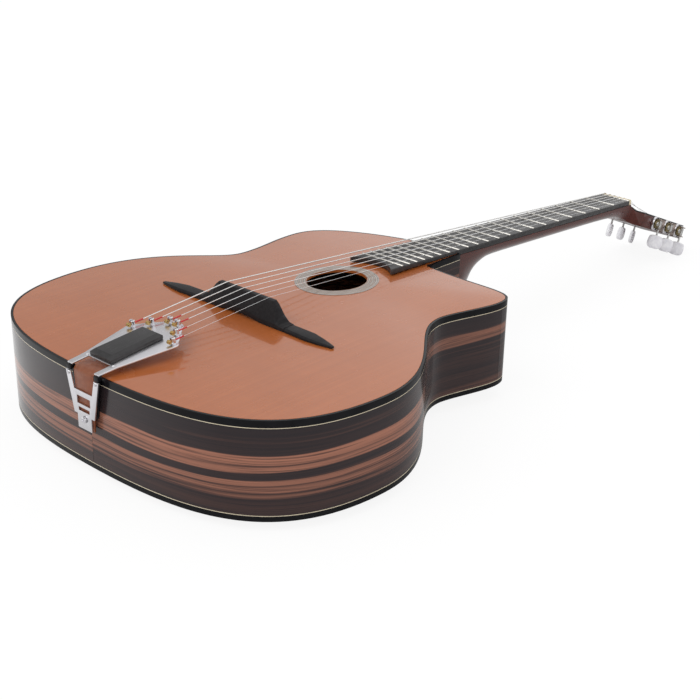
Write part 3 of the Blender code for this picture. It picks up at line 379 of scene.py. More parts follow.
def finish(piece, name, makers, body="guitar", replaces=(), space=None, smooth=35):
    """Lay a piece down, name it, give it one or more surfaces and let it ride on its body."""
    settle(piece)
    piece.matrix_world = space or LAID
    settle(piece)
    bpy.ops.object.shade_smooth_by_angle(angle=math.radians(smooth))
    piece.name = name
    piece.data.name = name
    give_surfaces(piece, *(makers if isinstance(makers, tuple) else (makers,)))
    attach(piece, body)
    if replaces:
        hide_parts(*replaces)
    return piece


# Shader nodes

def add_node(tree, kind, inputs=None, **attributes):
    """A node with its inputs linked, where given a socket, or set."""
    made = tree.nodes.new(kind)
    for name, value in attributes.items():
        setattr(made, name, value)
    for name, value in (inputs or {}).items():
        if isinstance(value, bpy.types.NodeSocket):
            tree.links.new(value, made.inputs[name])
        else:
            made.inputs[name].default_value = value
    return made


def math_node(tree, operation, first, second=0.0):
    return add_node(tree, 'ShaderNodeMath', {0: first, 1: second}, operation=operation).outputs[0]


def spread(tree, value, low, high, to_low=0.0, to_high=1.0):
    """A value's range from low to high, spread over another range and held inside it."""
    inputs = {"Value": value, "From Min": low, "From Max": high, "To Min": to_low, "To Max": to_high}
    return add_node(tree, 'ShaderNodeMapRange', inputs).outputs[0]


def mix_colours(tree, share, first, second):
    made = add_node(tree, 'ShaderNodeMix', {0: share}, data_type='RGBA')
    for index, colour in ((6, first), (7, second)):
        if isinstance(colour, bpy.types.NodeSocket):
            tree.links.new(colour, made.inputs[index])
        else:
            made.inputs[index].default_value = (*colour, 1.0)
    return made.outputs[2]


def noise(tree, vector, frequency, detail=3.0, roughness=0.55, distortion=0.0):
    """Noise with its own frequency, per metre, along each axis."""
    scaled = add_node(tree, 'ShaderNodeVectorMath', {0: vector, 1: frequency}, operation='MULTIPLY')
    inputs = {"Vector": scaled.outputs[0], "Scale": 1.0, "Detail": detail, "Roughness": roughness,
              "Distortion": distortion}
    return add_node(tree, 'ShaderNodeTexNoise', inputs).outputs["Fac"]


def clouds(tree, vector, frequency, detail=3.0):
    """Soft patches, as many per metre along every axis."""
    return spread(tree, noise(tree, vector, (frequency,) * 3, detail), 0.3, 0.7)


def ramp(tree, level, stops, interpolation='LINEAR'):
    """Colours along a level, from pairs of a position and a colour."""
    made = add_node(tree, 'ShaderNodeValToRGB', {0: level})
    made.color_ramp.interpolation = interpolation
    elements = made.color_ramp.elements
    for index, (position, colour) in enumerate(stops):
        stop = elements[index] if index < 2 else elements.new(position)
        stop.position = position
        stop.color = (*colour, 1.0)
    return made.outputs[0]


def object_place(tree):
    """Object coordinates, turned back into the guitar's own frame."""
    back = LAID.inverted()
    inputs = {"Vector": add_node(tree, 'ShaderNodeTexCoord').outputs["Object"],
              "Location": back.translation, "Rotation": back.to_euler()}
    return add_node(tree, 'ShaderNodeMapping', inputs).outputs[0]


def new_group(name, inputs, outputs):
    """An empty node group with typed inputs and outputs."""
    group = bpy.data.node_groups.new(name, 'ShaderNodeTree')
    for socket, (kind, default) in inputs.items():
        made = group.interface.new_socket(socket, in_out='INPUT', socket_type=kind)
        made.default_value = default
    for socket, kind in outputs.items():
        group.interface.new_socket(socket, in_out='OUTPUT', socket_type=kind)
    source = group.nodes.new('NodeGroupInput')
    target = group.nodes.new('NodeGroupOutput')
    return group, source.outputs, target.inputs


def grain_group():
    """Straight grain: fine lines, slow changes of tone, and short open pores."""
    group, given, result = new_group(
        "Wood grain",
        {"Vector": ('NodeSocketVector', (0, 0, 0)), "Frequency": ('NodeSocketVector', (600, 6, 60)),
         "Sharpness": ('NodeSocketFloat', 0.12)},
        {"Lines": 'NodeSocketFloat', "Tone": 'NodeSocketFloat', "Pores": 'NodeSocketFloat'})

    def grain_noise(share, detail):
        scaled = add_node(group, 'ShaderNodeVectorMath', {0: given["Frequency"], 1: share},
                          operation='MULTIPLY')
        return noise(group, given["Vector"], scaled.outputs[0], detail)

    low = math_node(group, 'SUBTRACT', 0.5, given["Sharpness"])
    high = math_node(group, 'ADD', 0.5, given["Sharpness"])
    group.links.new(spread(group, grain_noise((1, 1, 1), 4.0), low, high), result["Lines"])
    group.links.new(spread(group, grain_noise((0.05, 0.4, 0.05), 2.0), 0.3, 0.7), result["Tone"])
    group.links.new(spread(group, grain_noise((2.3, 4.5, 2.3), 1.0), 0.62, 0.72), result["Pores"])
    return group


def gloss_group():
    """Roughness that drifts a little, as polished surfaces do."""
    group, given, result = new_group(
        "Uneven gloss",
        {"Vector": ('NodeSocketVector', (0, 0, 0)), "Low": ('NodeSocketFloat', 0.1),
         "High": ('NodeSocketFloat', 0.2)},
        {"Roughness": 'NodeSocketFloat'})
    drift = noise(group, given["Vector"], (35, 35, 35), 4.0, 0.6)
    group.links.new(spread(group, drift, 0.3, 0.7, given["Low"], given["High"]), result["Roughness"])
    return group


EDGE_START = 0.51                           # pointiness just past a flat face's


def edge_highlight_group():
    """A mask of the exposed edges, broken up by noise, where a painted highlight goes."""
    group, given, result = new_group(
        "Painted edge highlight",
        {"Vector": ('NodeSocketVector', (0, 0, 0)), "Reach": ('NodeSocketFloat', 0.08)},
        {"Mask": 'NodeSocketFloat'})
    edge = add_node(group, 'ShaderNodeNewGeometry').outputs["Pointiness"]
    end = math_node(group, 'ADD', EDGE_START, given["Reach"])
    patches = noise(group, given["Vector"], (220, 220, 220), 3.0)
    # The sharper an edge, the more of the painted highlight it takes
    lit_edge = spread(group, edge, EDGE_START, end)
    mask = math_node(group, 'MULTIPLY', lit_edge, spread(group, patches, 0.35, 0.6))
    group.links.new(mask, result["Mask"])
    return group


def use_group(tree, maker, **inputs):
    made = tree.nodes.new('ShaderNodeGroup')
    made.node_tree = made_once(maker)
    for name, value in inputs.items():
        socket = made.inputs[name.replace("_", " ").title()]
        if isinstance(value, bpy.types.NodeSocket):
            tree.links.new(value, socket)
        else:
            socket.default_value = value
    return made.outputs


def bump(tree, height, strength, distance):
    inputs = {"Height": height, "Strength": strength, "Distance": distance}
    return add_node(tree, 'ShaderNodeBump', inputs).outputs[0]


def start_surface(name, **shader_values):
    """A new material, its tree, its Principled shader with plain values, and its coordinates."""
    surface = bpy.data.materials.new(name)
    surface.use_nodes = True
    shader = surface.node_tree.nodes["Principled BSDF"]
    for socket, value in shader_values.items():
        shader.inputs[socket.replace("_", " ")].default_value = value
    return surface, surface.node_tree, shader, object_place(surface.node_tree)


def wire(tree, shader, **sockets):
    for name, socket in sockets.items():
        tree.links.new(socket, shader.inputs[name.replace("_", " ")])


def polish(tree, shader, place, colour, low, high, **sockets):
    """Wire in a colour and a roughness that drifts from low to high."""
    rough = use_group(tree, gloss_group, vector=place, low=low, high=high)
    wire(tree, shader, Base_Color=colour, Roughness=rough["Roughness"], **sockets)


def shaded(colour, share):
    return tuple(share * part for part in colour)


# Woods

def mirrored_place(tree, place):
    """The same pattern on both sides of the centre seam, as in matched halves."""
    parts = add_node(tree, 'ShaderNodeSeparateXYZ', {0: place}).outputs
    inputs = {"X": math_node(tree, 'ABSOLUTE', parts["X"]), "Y": parts["Y"], "Z": parts["Z"]}
    return add_node(tree, 'ShaderNodeCombineXYZ', inputs).outputs[0]


def cedar(colours):
    """Fine straight cedar in matched halves, with faint silk across it, partly painted as a lighter sheen, under
    clear gloss.
    """
    surface, tree, shader, place = start_surface(
        "cedar_top", Coat_Weight=0.75, Coat_Roughness=0.015, Coat_IOR=1.5, Specular_IOR_Level=0.3)
    matched = mirrored_place(tree, place)
    grain = use_group(tree, grain_group, vector=matched, frequency=(520, 3.2, 30), sharpness=0.16)
    # The silk is partly the wood's figure and partly a painted sheen: lighter patches in the colour
    shimmer = spread(tree, noise(tree, matched, (50, 160, 40), 2.0), 0.45, 0.80, 0.0, 0.14)
    lines = math_node(tree, 'MULTIPLY', grain["Lines"], 0.45)
    colour = mix_colours(tree, lines, colours.cedar, colours.cedar_line)
    colour = mix_colours(tree, shimmer, colour, (0.56, 0.19, 0.062))
    patches = spread(tree, noise(tree, matched, (14, 30, 20), 3.0), 0.35, 0.65, 0.0, 0.40)
    colour = mix_colours(tree, patches, colour, (0.41, 0.112, 0.028))
    polish(tree, shader, place, colour, 0.20, 0.30)
    return surface


def spruce(colours):
    """Bare pale wood, planed and not lacquered."""
    surface, tree, shader, place = start_surface("spruce", Specular_IOR_Level=0.3)
    grain = use_group(tree, grain_group, vector=place, frequency=(60, 60, 500), sharpness=0.14)
    colour = mix_colours(tree, grain["Lines"], colours.spruce, shaded(colours.spruce, 0.72))
    polish(tree, shader, place, colour, 0.55, 0.75, Normal=bump(tree, grain["Lines"], 0.2, 0.0002))
    return surface


# Height of each change of colour up the side, from the back's edge to the top's, and its brownness
SIDE_BANDS = (
    (0.0, 0.03), (0.12, 0.10), (0.20, 0.03), (0.225, 0.55), (0.25, 0.10), (0.265, 0.75), (0.31, 0.60),
    (0.325, 0.12), (0.335, 0.70), (0.385, 0.85), (0.395, 0.03), (0.475, 0.04), (0.485, 0.95),
    (0.53, 0.75), (0.545, 0.30), (0.555, 0.80), (0.62, 1.0), (0.645, 0.90), (0.655, 0.04), (1.0, 0.0))
# The same on the treble side beyond the waist, where one stripe is left
UPPER_BANDS = (
    (0.0, 0.05), (0.04, 0.30), (0.13, 0.20), (0.17, 0.04), (0.30, 0.10), (0.33, 0.02), (0.45, 0.08),
    (0.49, 0.02), (0.625, 0.03), (0.64, 0.60), (0.67, 0.35), (0.685, 0.70), (0.74, 0.50),
    (0.755, 0.03), (1.0, 0.0))
WAIST_BLEND = (0.245, 0.285)                # where along the body the one figure becomes the other
BASS_LIFT = 0.045                           # how much higher the bass side's bands run
# Back: from the seam outwards, in the width of one repeat
BACK_BANDS = (
    (0.0, 0.05), (0.08, 0.70), (0.20, 0.55), (0.24, 0.05), (0.40, 0.08), (0.43, 0.85), (0.50, 0.40),
    (0.53, 0.90), (0.66, 0.70), (0.69, 0.04), (0.86, 0.10), (0.90, 0.50), (0.97, 0.05))
BACK_REPEATS = 8.5                          # repeats per metre


def bands(tree, level, table):
    """Brownness at a level, from a table of positions and brownness."""
    return ramp(tree, level, [(position, (brown,) * 3) for position, brown in table])


def macassar_surface(name, colours, back):
    """Near-black wood with brown bands that wander a little and break up into fine threads."""
    surface, tree, shader, place = start_surface(name, Coat_Weight=0.35, Coat_Roughness=0.03,
                                                 Specular_IOR_Level=0.25)
    parts = add_node(tree, 'ShaderNodeSeparateXYZ', {0: place}).outputs
    if back:
        across = math_node(tree, 'MULTIPLY', math_node(tree, 'ABSOLUTE', parts["X"]), BACK_REPEATS)
        across = math_node(tree, 'FRACT', across)
        long_way, fine_way = (9, 1.6, 9), (420, 5, 420)
    else:
        bass = math_node(tree, 'LESS_THAN', parts["X"], 0.0)
        lift = math_node(tree, 'MULTIPLY', bass, BASS_LIFT)
        across = math_node(tree, 'ADD', math_node(tree, 'DIVIDE', parts["Z"], TAIL_DEPTH), lift)
        long_way, fine_way = (3.5, 3.5, 14), (7, 7, 620)
    wander = spread(tree, noise(tree, place, long_way, 2.0), 0.25, 0.75, -0.055, 0.055)
    level = math_node(tree, 'ADD', across, wander)
    figure = bands(tree, level, BACK_BANDS if back else SIDE_BANDS)
    if not back:
        treble = math_node(tree, 'GREATER_THAN', parts["X"], 0.0)
        beyond = math_node(tree, 'MULTIPLY', spread(tree, parts["Y"], *WAIST_BLEND), treble)
        figure = mix_colours(tree, beyond, figure, bands(tree, level, UPPER_BANDS))
    fine = spread(tree, noise(tree, place, fine_way, 4.0, 0.6), 0.38, 0.52, 0.30, 1.0)
    brown = math_node(tree, 'MULTIPLY', figure, fine)
    threads = noise(tree, place, shaded(fine_way, 0.45), 2.0)
    threads = spread(tree, threads, 0.60, 0.70, 0.0, 0.10)
    brown = math_node(tree, 'MAXIMUM', brown, threads)
    colour = mix_colours(tree, brown, colours.macassar, colours.stripe)
    grain = use_group(tree, grain_group, vector=place, frequency=fine_way, sharpness=0.2)
    polish(tree, shader, place, colour, 0.14, 0.24, Normal=bump(tree, grain["Pores"], 0.04, 0.0002))
    return surface


def macassar_side(colours):
    """Bands that run along the ribs."""
    return macassar_surface("macassar_side", colours, back=False)


def macassar_back(colours):
    """Bands that run along the back's matched halves."""
    return macassar_surface("macassar_back", colours, back=True)


def mahogany(colours):
    """Stained red-brown neck wood with dark pores, under gloss."""
    surface, tree, shader, place = start_surface("neck_wood", Coat_Weight=0.45, Coat_Roughness=0.03,
                                                 Specular_IOR_Level=0.2)
    grain = use_group(tree, grain_group, vector=place, frequency=(330, 9, 330), sharpness=0.25)
    lines = math_node(tree, 'MULTIPLY', grain["Lines"], 0.6)
    colour = mix_colours(tree, lines, colours.neck, shaded(colours.neck, 0.45))
    pores = math_node(tree, 'MULTIPLY', grain["Pores"], 0.5)
    colour = mix_colours(tree, pores, colour, (0.02, 0.006, 0.005))
    polish(tree, shader, place, colour, 0.18, 0.28, Normal=bump(tree, grain["Pores"], 0.05, 0.0002))
    return surface


def ebony_surface(name, colours, sheen, bending):
    """Oiled ebony: faint brown streaks, open pores and a painted highlight on its edges."""
    surface, tree, shader, place = start_surface(name, Specular_IOR_Level=sheen, IOR=bending)
    grain = use_group(tree, grain_group, vector=place, frequency=(500, 12, 500), sharpness=0.2)
    lines = math_node(tree, 'MULTIPLY', grain["Lines"], 0.6)
    colour = mix_colours(tree, lines, colours.ebony, shaded(colours.ebony, 2.2))
    # Painted highlight: the edges are painted a lighter grey
    edge_highlight = use_group(tree, edge_highlight_group, vector=place, reach=0.10)["Mask"]
    colour = mix_colours(tree, math_node(tree, 'MULTIPLY', edge_highlight, 0.5), colour, (0.09, 0.085, 0.085))
    polish(tree, shader, place, colour, 0.26, 0.40, Normal=bump(tree, grain["Pores"], 0.25, 0.0003))
    return surface


def board_ebony(colours):
    """Ebony of the board, the headplate, the heel's cap and the insert."""
    return ebony_surface("ebony", colours, 0.50, 1.5)


def bridge_ebony(colours):
    """Duller ebony of the bridge and its moustaches."""
    return ebony_surface("bridge_ebony", colours, 0.30, 1.2)


# Plastics and bone

def black_binding(colours):
    """Black plastic with a soft shine."""
    surface, tree, shader, place = start_surface("black_binding", Coat_Weight=0.08, Coat_Roughness=0.03,
                                                 Specular_IOR_Level=0.15)
    patches = clouds(tree, place, 60)
    colour = mix_colours(tree, patches, colours.binding, shaded(colours.binding, 1.9))
    polish(tree, shader, place, colour, 0.14, 0.24)
    return surface


def cream_line(colours):
    """Cream plastic under the body's gloss."""
    surface, tree, shader, place = start_surface("cream_line", Coat_Weight=0.5, Coat_Roughness=0.03)
    patches = clouds(tree, place, 90)
    colour = mix_colours(tree, patches, colours.cream, shaded(colours.cream, 0.82))
    polish(tree, shader, place, colour, 0.2, 0.3)
    return surface


def bone(colours):
    """Pale bone with faint streaks."""
    surface, tree, shader, place = start_surface("bone", Subsurface_Weight=0.05)
    streaks = spread(tree, noise(tree, place, (90, 500, 300), 3.0), 0.35, 0.65)
    colour = mix_colours(tree, streaks, (0.80, 0.70, 0.50), (0.70, 0.58, 0.38))
    polish(tree, shader, place, colour, 0.25, 0.4)
    return surface


PEARL_FLAKES = 260                          # flakes per metre
FLAKE_SHIFT = 0.004


def pearloid(colours):
    """Plastic that copies pearl: drifting flakes of pale colour."""
    surface, tree, shader, place = start_surface("pearloid", Coat_Weight=0.6, Coat_Roughness=0.04)
    warp = add_node(tree, 'ShaderNodeTexNoise', {"Vector": place, "Scale": PEARL_FLAKES / 2})
    moved = add_node(tree, 'ShaderNodeVectorMath', {0: warp.outputs["Color"], 1: (FLAKE_SHIFT,) * 3},
                     operation='MULTIPLY')
    moved = add_node(tree, 'ShaderNodeVectorMath', {0: place, 1: moved.outputs[0]}, operation='ADD')
    flakes = add_node(tree, 'ShaderNodeTexVoronoi', {"Vector": moved.outputs[0], "Scale": PEARL_FLAKES},
                      feature='SMOOTH_F1')
    share = spread(tree, flakes.outputs["Distance"], 0.15, 0.7)
    colour = mix_colours(tree, share, (0.90, 0.89, 0.92), (0.76, 0.75, 0.80))
    polish(tree, shader, place, colour, 0.12, 0.22)
    return surface


# Metals

def metal_surface(name, tint, low, high, dull=0.82):
    """Plated or drawn metal with a faint drift of tone."""
    surface, tree, shader, place = start_surface(name, Metallic=1.0)
    patches = clouds(tree, place, 160, 4.0)
    colour = mix_colours(tree, patches, tint, shaded(tint, dull))
    polish(tree, shader, place, colour, low, high)
    return surface


def chrome(colours):
    """Bright plating of the posts, rivets, screws and gear covers."""
    return metal_surface("chrome", colours.metal, 0.06, 0.14, 0.9)


def steel(colours):
    """Plain steel of the rollers, worms, stems and truss rod."""
    return metal_surface("steel", (0.62, 0.61, 0.60), 0.22, 0.34)


def satin_plate(colours):
    """Softer plating of the tailpiece's plate and hanger."""
    return metal_surface("satin_plate", colours.metal, 0.24, 0.34, 0.94)


def worn_plate(colours):
    """Dull brownish plating of the tuners' bars."""
    return metal_surface("worn_plate", (0.46, 0.37, 0.32), 0.25, 0.40, 0.7)


def plain_string(colours):
    """Bright steel wire."""
    return metal_surface("string_steel", (0.95, 0.95, 0.96), 0.28, 0.38, 0.95)


def nickel(colours):
    """Polished fret wire."""
    return metal_surface("nickel", (0.95, 0.92, 0.85), 0.16, 0.26, 0.93)


def brass(colours):
    """Ball ends."""
    return metal_surface("brass", (0.62, 0.43, 0.17), 0.16, 0.30)


def dark_brass(colours):
    """Gears, dulled by oil."""
    return metal_surface("dark_brass", (0.34, 0.27, 0.14), 0.20, 0.36, 0.6)


def ridges(tree, place, frequency, unevenness):
    """Fine ridges one behind the other along the strings."""
    inputs = {"Vector": place, "Scale": frequency, "Distortion": unevenness}
    return add_node(tree, 'ShaderNodeTexWave', inputs, wave_type='BANDS',
                    bands_direction='Y').outputs["Fac"]


def wound_string(colours):
    """Silvered wire wound close round the core: fine ribs along the string, with painted shade between them."""
    surface, tree, shader, place = start_surface("wound_string", Metallic=1.0)
    ribs = ridges(tree, place, 900.0, 0.0)
    # Painted shade: the grooves between the windings are painted darker than their crests
    colour = mix_colours(tree, ribs, (0.80, 0.78, 0.76), (0.95, 0.94, 0.92))
    polish(tree, shader, place, colour, 0.22, 0.32, Normal=bump(tree, ribs, 0.6, 0.0001))
    return surface


# Leather and silk

def leather(colours):
    """Smooth oiled leather with a fine pebble, painted shade in its creases and a painted highlight on its edges.
    """
    surface, tree, shader, place = start_surface("leather", Coat_Weight=0.35, Coat_Roughness=0.14,
                                                 Specular_IOR_Level=0.3)
    cells = add_node(tree, 'ShaderNodeTexVoronoi', {"Vector": place, "Scale": 1500.0},
                     feature='DISTANCE_TO_EDGE')
    creases = spread(tree, cells.outputs["Distance"], 0.0, 0.18)
    patches = clouds(tree, place, 120, 4.0)
    colour = mix_colours(tree, patches, colours.leather, shaded(colours.leather, 0.62))
    # Painted shade: the pebble's creases are painted darker
    colour = mix_colours(tree, creases, shaded(colours.leather, 0.5), colour)
    # Painted highlight: the edges are painted a lighter brown
    edge_highlight = use_group(tree, edge_highlight_group, vector=place, reach=0.12)["Mask"]
    colour = mix_colours(tree, math_node(tree, 'MULTIPLY', edge_highlight, 0.4), colour, (0.42, 0.19, 0.10))
    polish(tree, shader, place, colour, 0.30, 0.46, Normal=bump(tree, creases, 0.25, 0.0002))
    return surface


def silk(colours):
    """Red thread wound round a string's end, with painted shade between its turns."""
    surface, tree, shader, place = start_surface("silk", Sheen_Weight=0.3, Roughness=0.6)
    thread = ridges(tree, place, 700.0, 1.0)
    # Painted shade: the thread is painted darker between its turns
    colour = mix_colours(tree, thread, colours.silk, shaded(colours.silk, 0.55))
    wire(tree, shader, Base_Color=colour, Normal=bump(tree, thread, 0.5, 0.0001))
    return surface


# Distance of each ring's outer edge, from the hole to the rosette's rim, and its colour
ROSETTE_RINGS = ((0.08, (0.46, 0.26, 0.16)), (0.14, (0.05, 0.04, 0.04)), (0.22, (0.50, 0.42, 0.34)),
                 (0.27, (0.06, 0.05, 0.05)), (0.42, (0.33, 0.22, 0.16)), (0.46, (0.06, 0.05, 0.05)),
                 (0.53, (0.50, 0.42, 0.34)), (0.57, (0.06, 0.05, 0.05)), (0.72, (0.34, 0.24, 0.18)),
                 (0.77, (0.06, 0.05, 0.05)), (0.86, (0.52, 0.44, 0.36)), (0.91, (0.06, 0.05, 0.05)),
                 (1.0, (0.36, 0.30, 0.26)))


def rosette_rings(colours):
    """Thin wooden rings laid round the hole, measured across an ellipse."""
    surface, tree, shader, place = start_surface("rosette_rings", Coat_Weight=0.75, Coat_Roughness=0.02,
                                                 Specular_IOR_Level=0.3)
    parts = add_node(tree, 'ShaderNodeSeparateXYZ', {0: place}).outputs
    shares = []
    for half, grow, socket, centre in ((HOLE_HALF[0], ROSETTE_GROWTH[0], parts["X"], 0.0),
                                       (HOLE_HALF[1], ROSETTE_GROWTH[1], parts["Y"], HOLE_Y)):
        offset = math_node(tree, 'SUBTRACT', socket, centre)
        shares.append(math_node(tree, 'POWER', math_node(tree, 'DIVIDE', offset, half * grow), 2.0))
    distance = math_node(tree, 'SQRT', math_node(tree, 'ADD', *shares))
    inner = 0.5 / ROSETTE_GROWTH[0] + 0.5 / ROSETTE_GROWTH[1]
    across = spread(tree, distance, inner, 1.0)
    starts = (0.0, *(end for end, colour in ROSETTE_RINGS))
    stops = [(start, colour) for start, (end, colour) in zip(starts, ROSETTE_RINGS)]
    rings = ramp(tree, across, stops, 'CONSTANT')
    grain = use_group(tree, grain_group, vector=place, frequency=(400, 40, 60), sharpness=0.2)
    shade = math_node(tree, 'MULTIPLY', grain["Lines"], 0.35)
    colour = mix_colours(tree, shade, rings, (0.10, 0.07, 0.06))
    polish(tree, shader, place, colour, 0.18, 0.28)
    return surface


# Body

def build_walls():
    """Ribs, bindings and the cream lines between them."""
    sizes = bpy.context.scene.guitar_sizes
    middle = TAIL_DEPTH / 2

    def low_rib(point):
        point.z += -sizes.purfling if point.z > middle else sizes.purfling
        return point

    for node in ("bass_rib", "treble_rib", "cutaway_rib"):
        rib = take_node(node, flat=None)
        move_points(rib, low_rib)
        curve_smoothly(rib)
        finish(rib, node + "_veneer", macassar_side, replaces=[node])

    def below_top_binding(point):
        line = edge_height(point.y) - TOP_BINDING
        point.z = line if point.z > line + TOP_BINDING / 2 else line - sizes.purfling
        return point

    def above_back_binding(point):
        point.z = BACK_BINDING + (sizes.purfling if point.z > BACK_BINDING / 2 else 0.0)
        return point

    for node, name, place in (("top_binding", "top_cream_line", below_top_binding),
                              ("back_binding", "back_cream_line", above_back_binding)):
        binding = take_node(node, flat=None)
        line = copy_piece(binding)
        curve_smoothly(binding)
        round_edges(binding, sizes.edge)
        finish(binding, node + "_strip", black_binding, replaces=[node])
        move_points(line, place)
        curve_smoothly(line)
        finish(line, name, cream_line)


class GUITAR_OT_body(bpy.types.Operator):
    """Top, back, sides, bindings and cream lines"""
    bl_idname = "guitar.body"
    bl_label = "Body"

    def execute(self, context):
        for node, wood, slot, inwards in (("top_plate", cedar, "cedar_top", -1),
                                          ("back_plate", macassar_back, "macassar", 1)):
            plate = curve_smoothly(take_node(node, flat=None))
            finish(plate, node + "_arched", (wood, spruce), replaces=[node])
            use_second_surface(plate, lambda face: face.normal.z * inwards > 0.5)
        build_walls()
        return {'FINISHED'}


class GUITAR_OT_inside(bpy.types.Operator):
    """Bare wood for the blocks, braces and linings, and steel for the truss rod"""
    bl_idname = "guitar.inside"
    bl_label = "Inside"

    def execute(self, context):
        for row in frame["record"]["subparts"]:
            piece = frame["nodes"][row["node"]]
            surface = {"spruce": spruce, "steel": steel}.get(row["material_slot"])
            if surface and not piece.hide_render:
                give_surfaces(piece, surface)
        return {'FINISHED'}


ROSETTE_START = 0.0003                      # gap round the hole
ROSETTE_ABOVE = 0.0055                      # height over the edge from which it is laid on the top
ROSETTE_THICKNESS = 0.0006
ROSETTE_LIFT = 0.00012
ROSETTE_STEPS = 6
ROSETTE_SIDES = 128


class GUITAR_OT_rosette(bpy.types.Operator):
    """Ring of thin wooden rings round the sound hole"""
    bl_idname = "guitar.rosette"
    bl_label = "Rosette"

    def execute(self, context):
        centre = (0, HOLE_Y, edge_height(HOLE_Y) + ROSETTE_ABOVE)
        ring = take_primitive("circle", vertices=ROSETTE_SIDES, radius=1.0, location=centre)
        ring.scale = (*(half + ROSETTE_START for half in HOLE_HALF), 1)
        settle(ring)
        open_mesh(ring, 'EDGE', 'SELECT')
        for k in range(ROSETTE_STEPS):
            before = [1 + (grow - 1) * k / ROSETTE_STEPS for grow in ROSETTE_GROWTH]
            after = [1 + (grow - 1) * (k + 1) / ROSETTE_STEPS for grow in ROSETTE_GROWTH]
            bpy.ops.mesh.extrude_edges_move()
            bpy.ops.transform.resize(value=(after[0] / before[0], after[1] / before[1], 1),
                                     center_override=centre)
        close_mesh()
        move_points(ring, lambda point: LAID @ point)
        modify(ring, 'SHRINKWRAP', target=bpy.data.objects["top_plate_arched"], wrap_method='PROJECT',
               use_project_z=True, use_negative_direction=True, use_positive_direction=False,
               offset=ROSETTE_LIFT)
        move_points(ring, lambda point: LAID.inverted() @ point)
        modify(ring, 'SOLIDIFY', thickness=ROSETTE_THICKNESS, offset=0.0)
        finish(ring, "rosette_rings", rosette_rings, replaces=["rosette"])
        return {'FINISHED'}


# Neck, board and head

class GUITAR_OT_neck(bpy.types.Operator):
    """Neck with its heel, and the heel's cap"""
    bl_idname = "guitar.neck"
    bl_label = "Neck"

    def execute(self, context):
        sizes = context.scene.guitar_sizes
        neck = take_node("neck", flat=None)
        curve_smoothly(neck, angle=48)
        finish(neck, "neck_shaft", mahogany, replaces=["neck"])
        cap = round_edges(take_node("heel_cap"), sizes.edge)
        finish(cap, "heel_cap_plate", board_ebony, replaces=["heel_cap"])
        return {'FINISHED'}


BOARD_SKIN = 0.0004                         # points this near the board's face belong to it
FRET_SHORT = 0.0003                         # a fret's length short of the board's width
FRET_SIDES = 24
FRET_END = 0.0004                           # rounding of a fret's ends
NUT_EDGE = 0.0005


def build_board():
    """The board, with the ridges that stand for the frets laid flat."""
    sizes = bpy.context.scene.guitar_sizes
    board = take_node("fingerboard", flat=None)

    def level(point):
        top = fret_plane(point.y) - FRET_HEIGHT
        if point.z > top - BOARD_SKIN:
            point.z = top
        return point

    move_points(board, level)
    open_mesh(board, select='SELECT')
    bpy.ops.mesh.dissolve_limited(angle_limit=math.radians(0.8))
    close_mesh()
    round_edges(board, sizes.edge)
    finish(board, "fingerboard_ebony", board_ebony, replaces=["fingerboard"], smooth=25)


def make_fret():
    """One fret, a metre long, lying along X: a half-round crown with a flat underside."""
    sizes = bpy.context.scene.guitar_sizes
    fret = take_primitive("cylinder", vertices=FRET_SIDES, radius=sizes.fret_width / 2, depth=1.0,
                          rotation=(0, RIGHT_ANGLE, 0))
    settle(fret)
    keep_top_half(fret)
    fret.scale = (1, 1, 2 * FRET_HEIGHT / sizes.fret_width)
    return settle(fret)


def build_frets():
    """The zero fret and the others, all from one pattern."""
    pattern = make_fret()
    for k in range(FRETS + 1):
        y = fret_y(k)
        fret = copy_piece(pattern)
        length = 2 * board_half(y) - FRET_SHORT
        move_points(fret, lambda point: Vector((point.x * length, point.y, point.z)))
        fret.location = (0, y, fret_plane(y) - FRET_HEIGHT)
        round_edges(fret, FRET_END, angle=60)
        finish(fret, f"fret_{k}", nickel)
    throw_away(pattern)


class GUITAR_OT_fingerboard(bpy.types.Operator):
    """Board, frets and nut"""
    bl_idname = "guitar.fingerboard"
    bl_label = "Fingerboard"

    def execute(self, context):
        build_board()
        build_frets()
        nut = round_edges(take_node("nut"), NUT_EDGE, segments=3)
        finish(nut, "nut_bone", bone, replaces=["nut"])
        return {'FINISHED'}


class GUITAR_OT_head(bpy.types.Operator):
    """Slotted head and its faceplate"""
    bl_idname = "guitar.head"
    bl_label = "Head"

    def execute(self, context):
        sizes = context.scene.guitar_sizes
        for node, name, surface, slot in (("head", "head_slotted", mahogany, "neck_wood"),
                                          ("headplate", "headplate_veneer", board_ebony, "ebony")):
            piece = take_node(node, HEAD, flat=0.5)
            round_edges(piece, sizes.edge, angle=50)
            finish(piece, name, surface, replaces=[node], space=HEAD, smooth=40)
        return {'FINISHED'}


# Tuning machines

COVER_RADIUS = 0.0088
COVER_RIM = 0.0008
COVER_X = (0.0301, 0.0342)                  # where the cup starts and where its rim ends
COVER_FLOOR = 0.0319
COVER_SIDES = 64
GATE_SIZE = (0.010, 0.0064, 0.0134)         # opening in the cup round the worm
METAL_EDGE = 0.0002
GEAR_RIM = 0.0008
GEAR_DISH = 0.0007                          # depth of the ring sunk in the gear's face
GEAR_X = (0.0330, 0.0356)                   # the gear's back and front
GEAR_FACE_GAP = 0.0002                      # how far the gear's outer face may lie beyond GEAR_FACE
GEAR_SCREW_X = 0.0355
GEAR_SCREW = (0.0026, 0.0007)               # radius and height of its head
GEAR_SCREW_SLOT = (0.0006, 0.0004)          # width and depth
SCREW_SIDES = 32
SCREW_STEPS = ((0.25, 0.35), (0.35, 0.10))  # each inset in radii, and its rise in heights
WORM_TURNS = 5
WORM_RISE = 0.0017
WORM_RIB_RADIUS = 0.0005
WORM_RIB_PLACE = 0.0021                     # from the worm's axis
WORM_STEPS = 80
KNOB_TOP = 0.0143                           # from the worm's axis down to the finger button


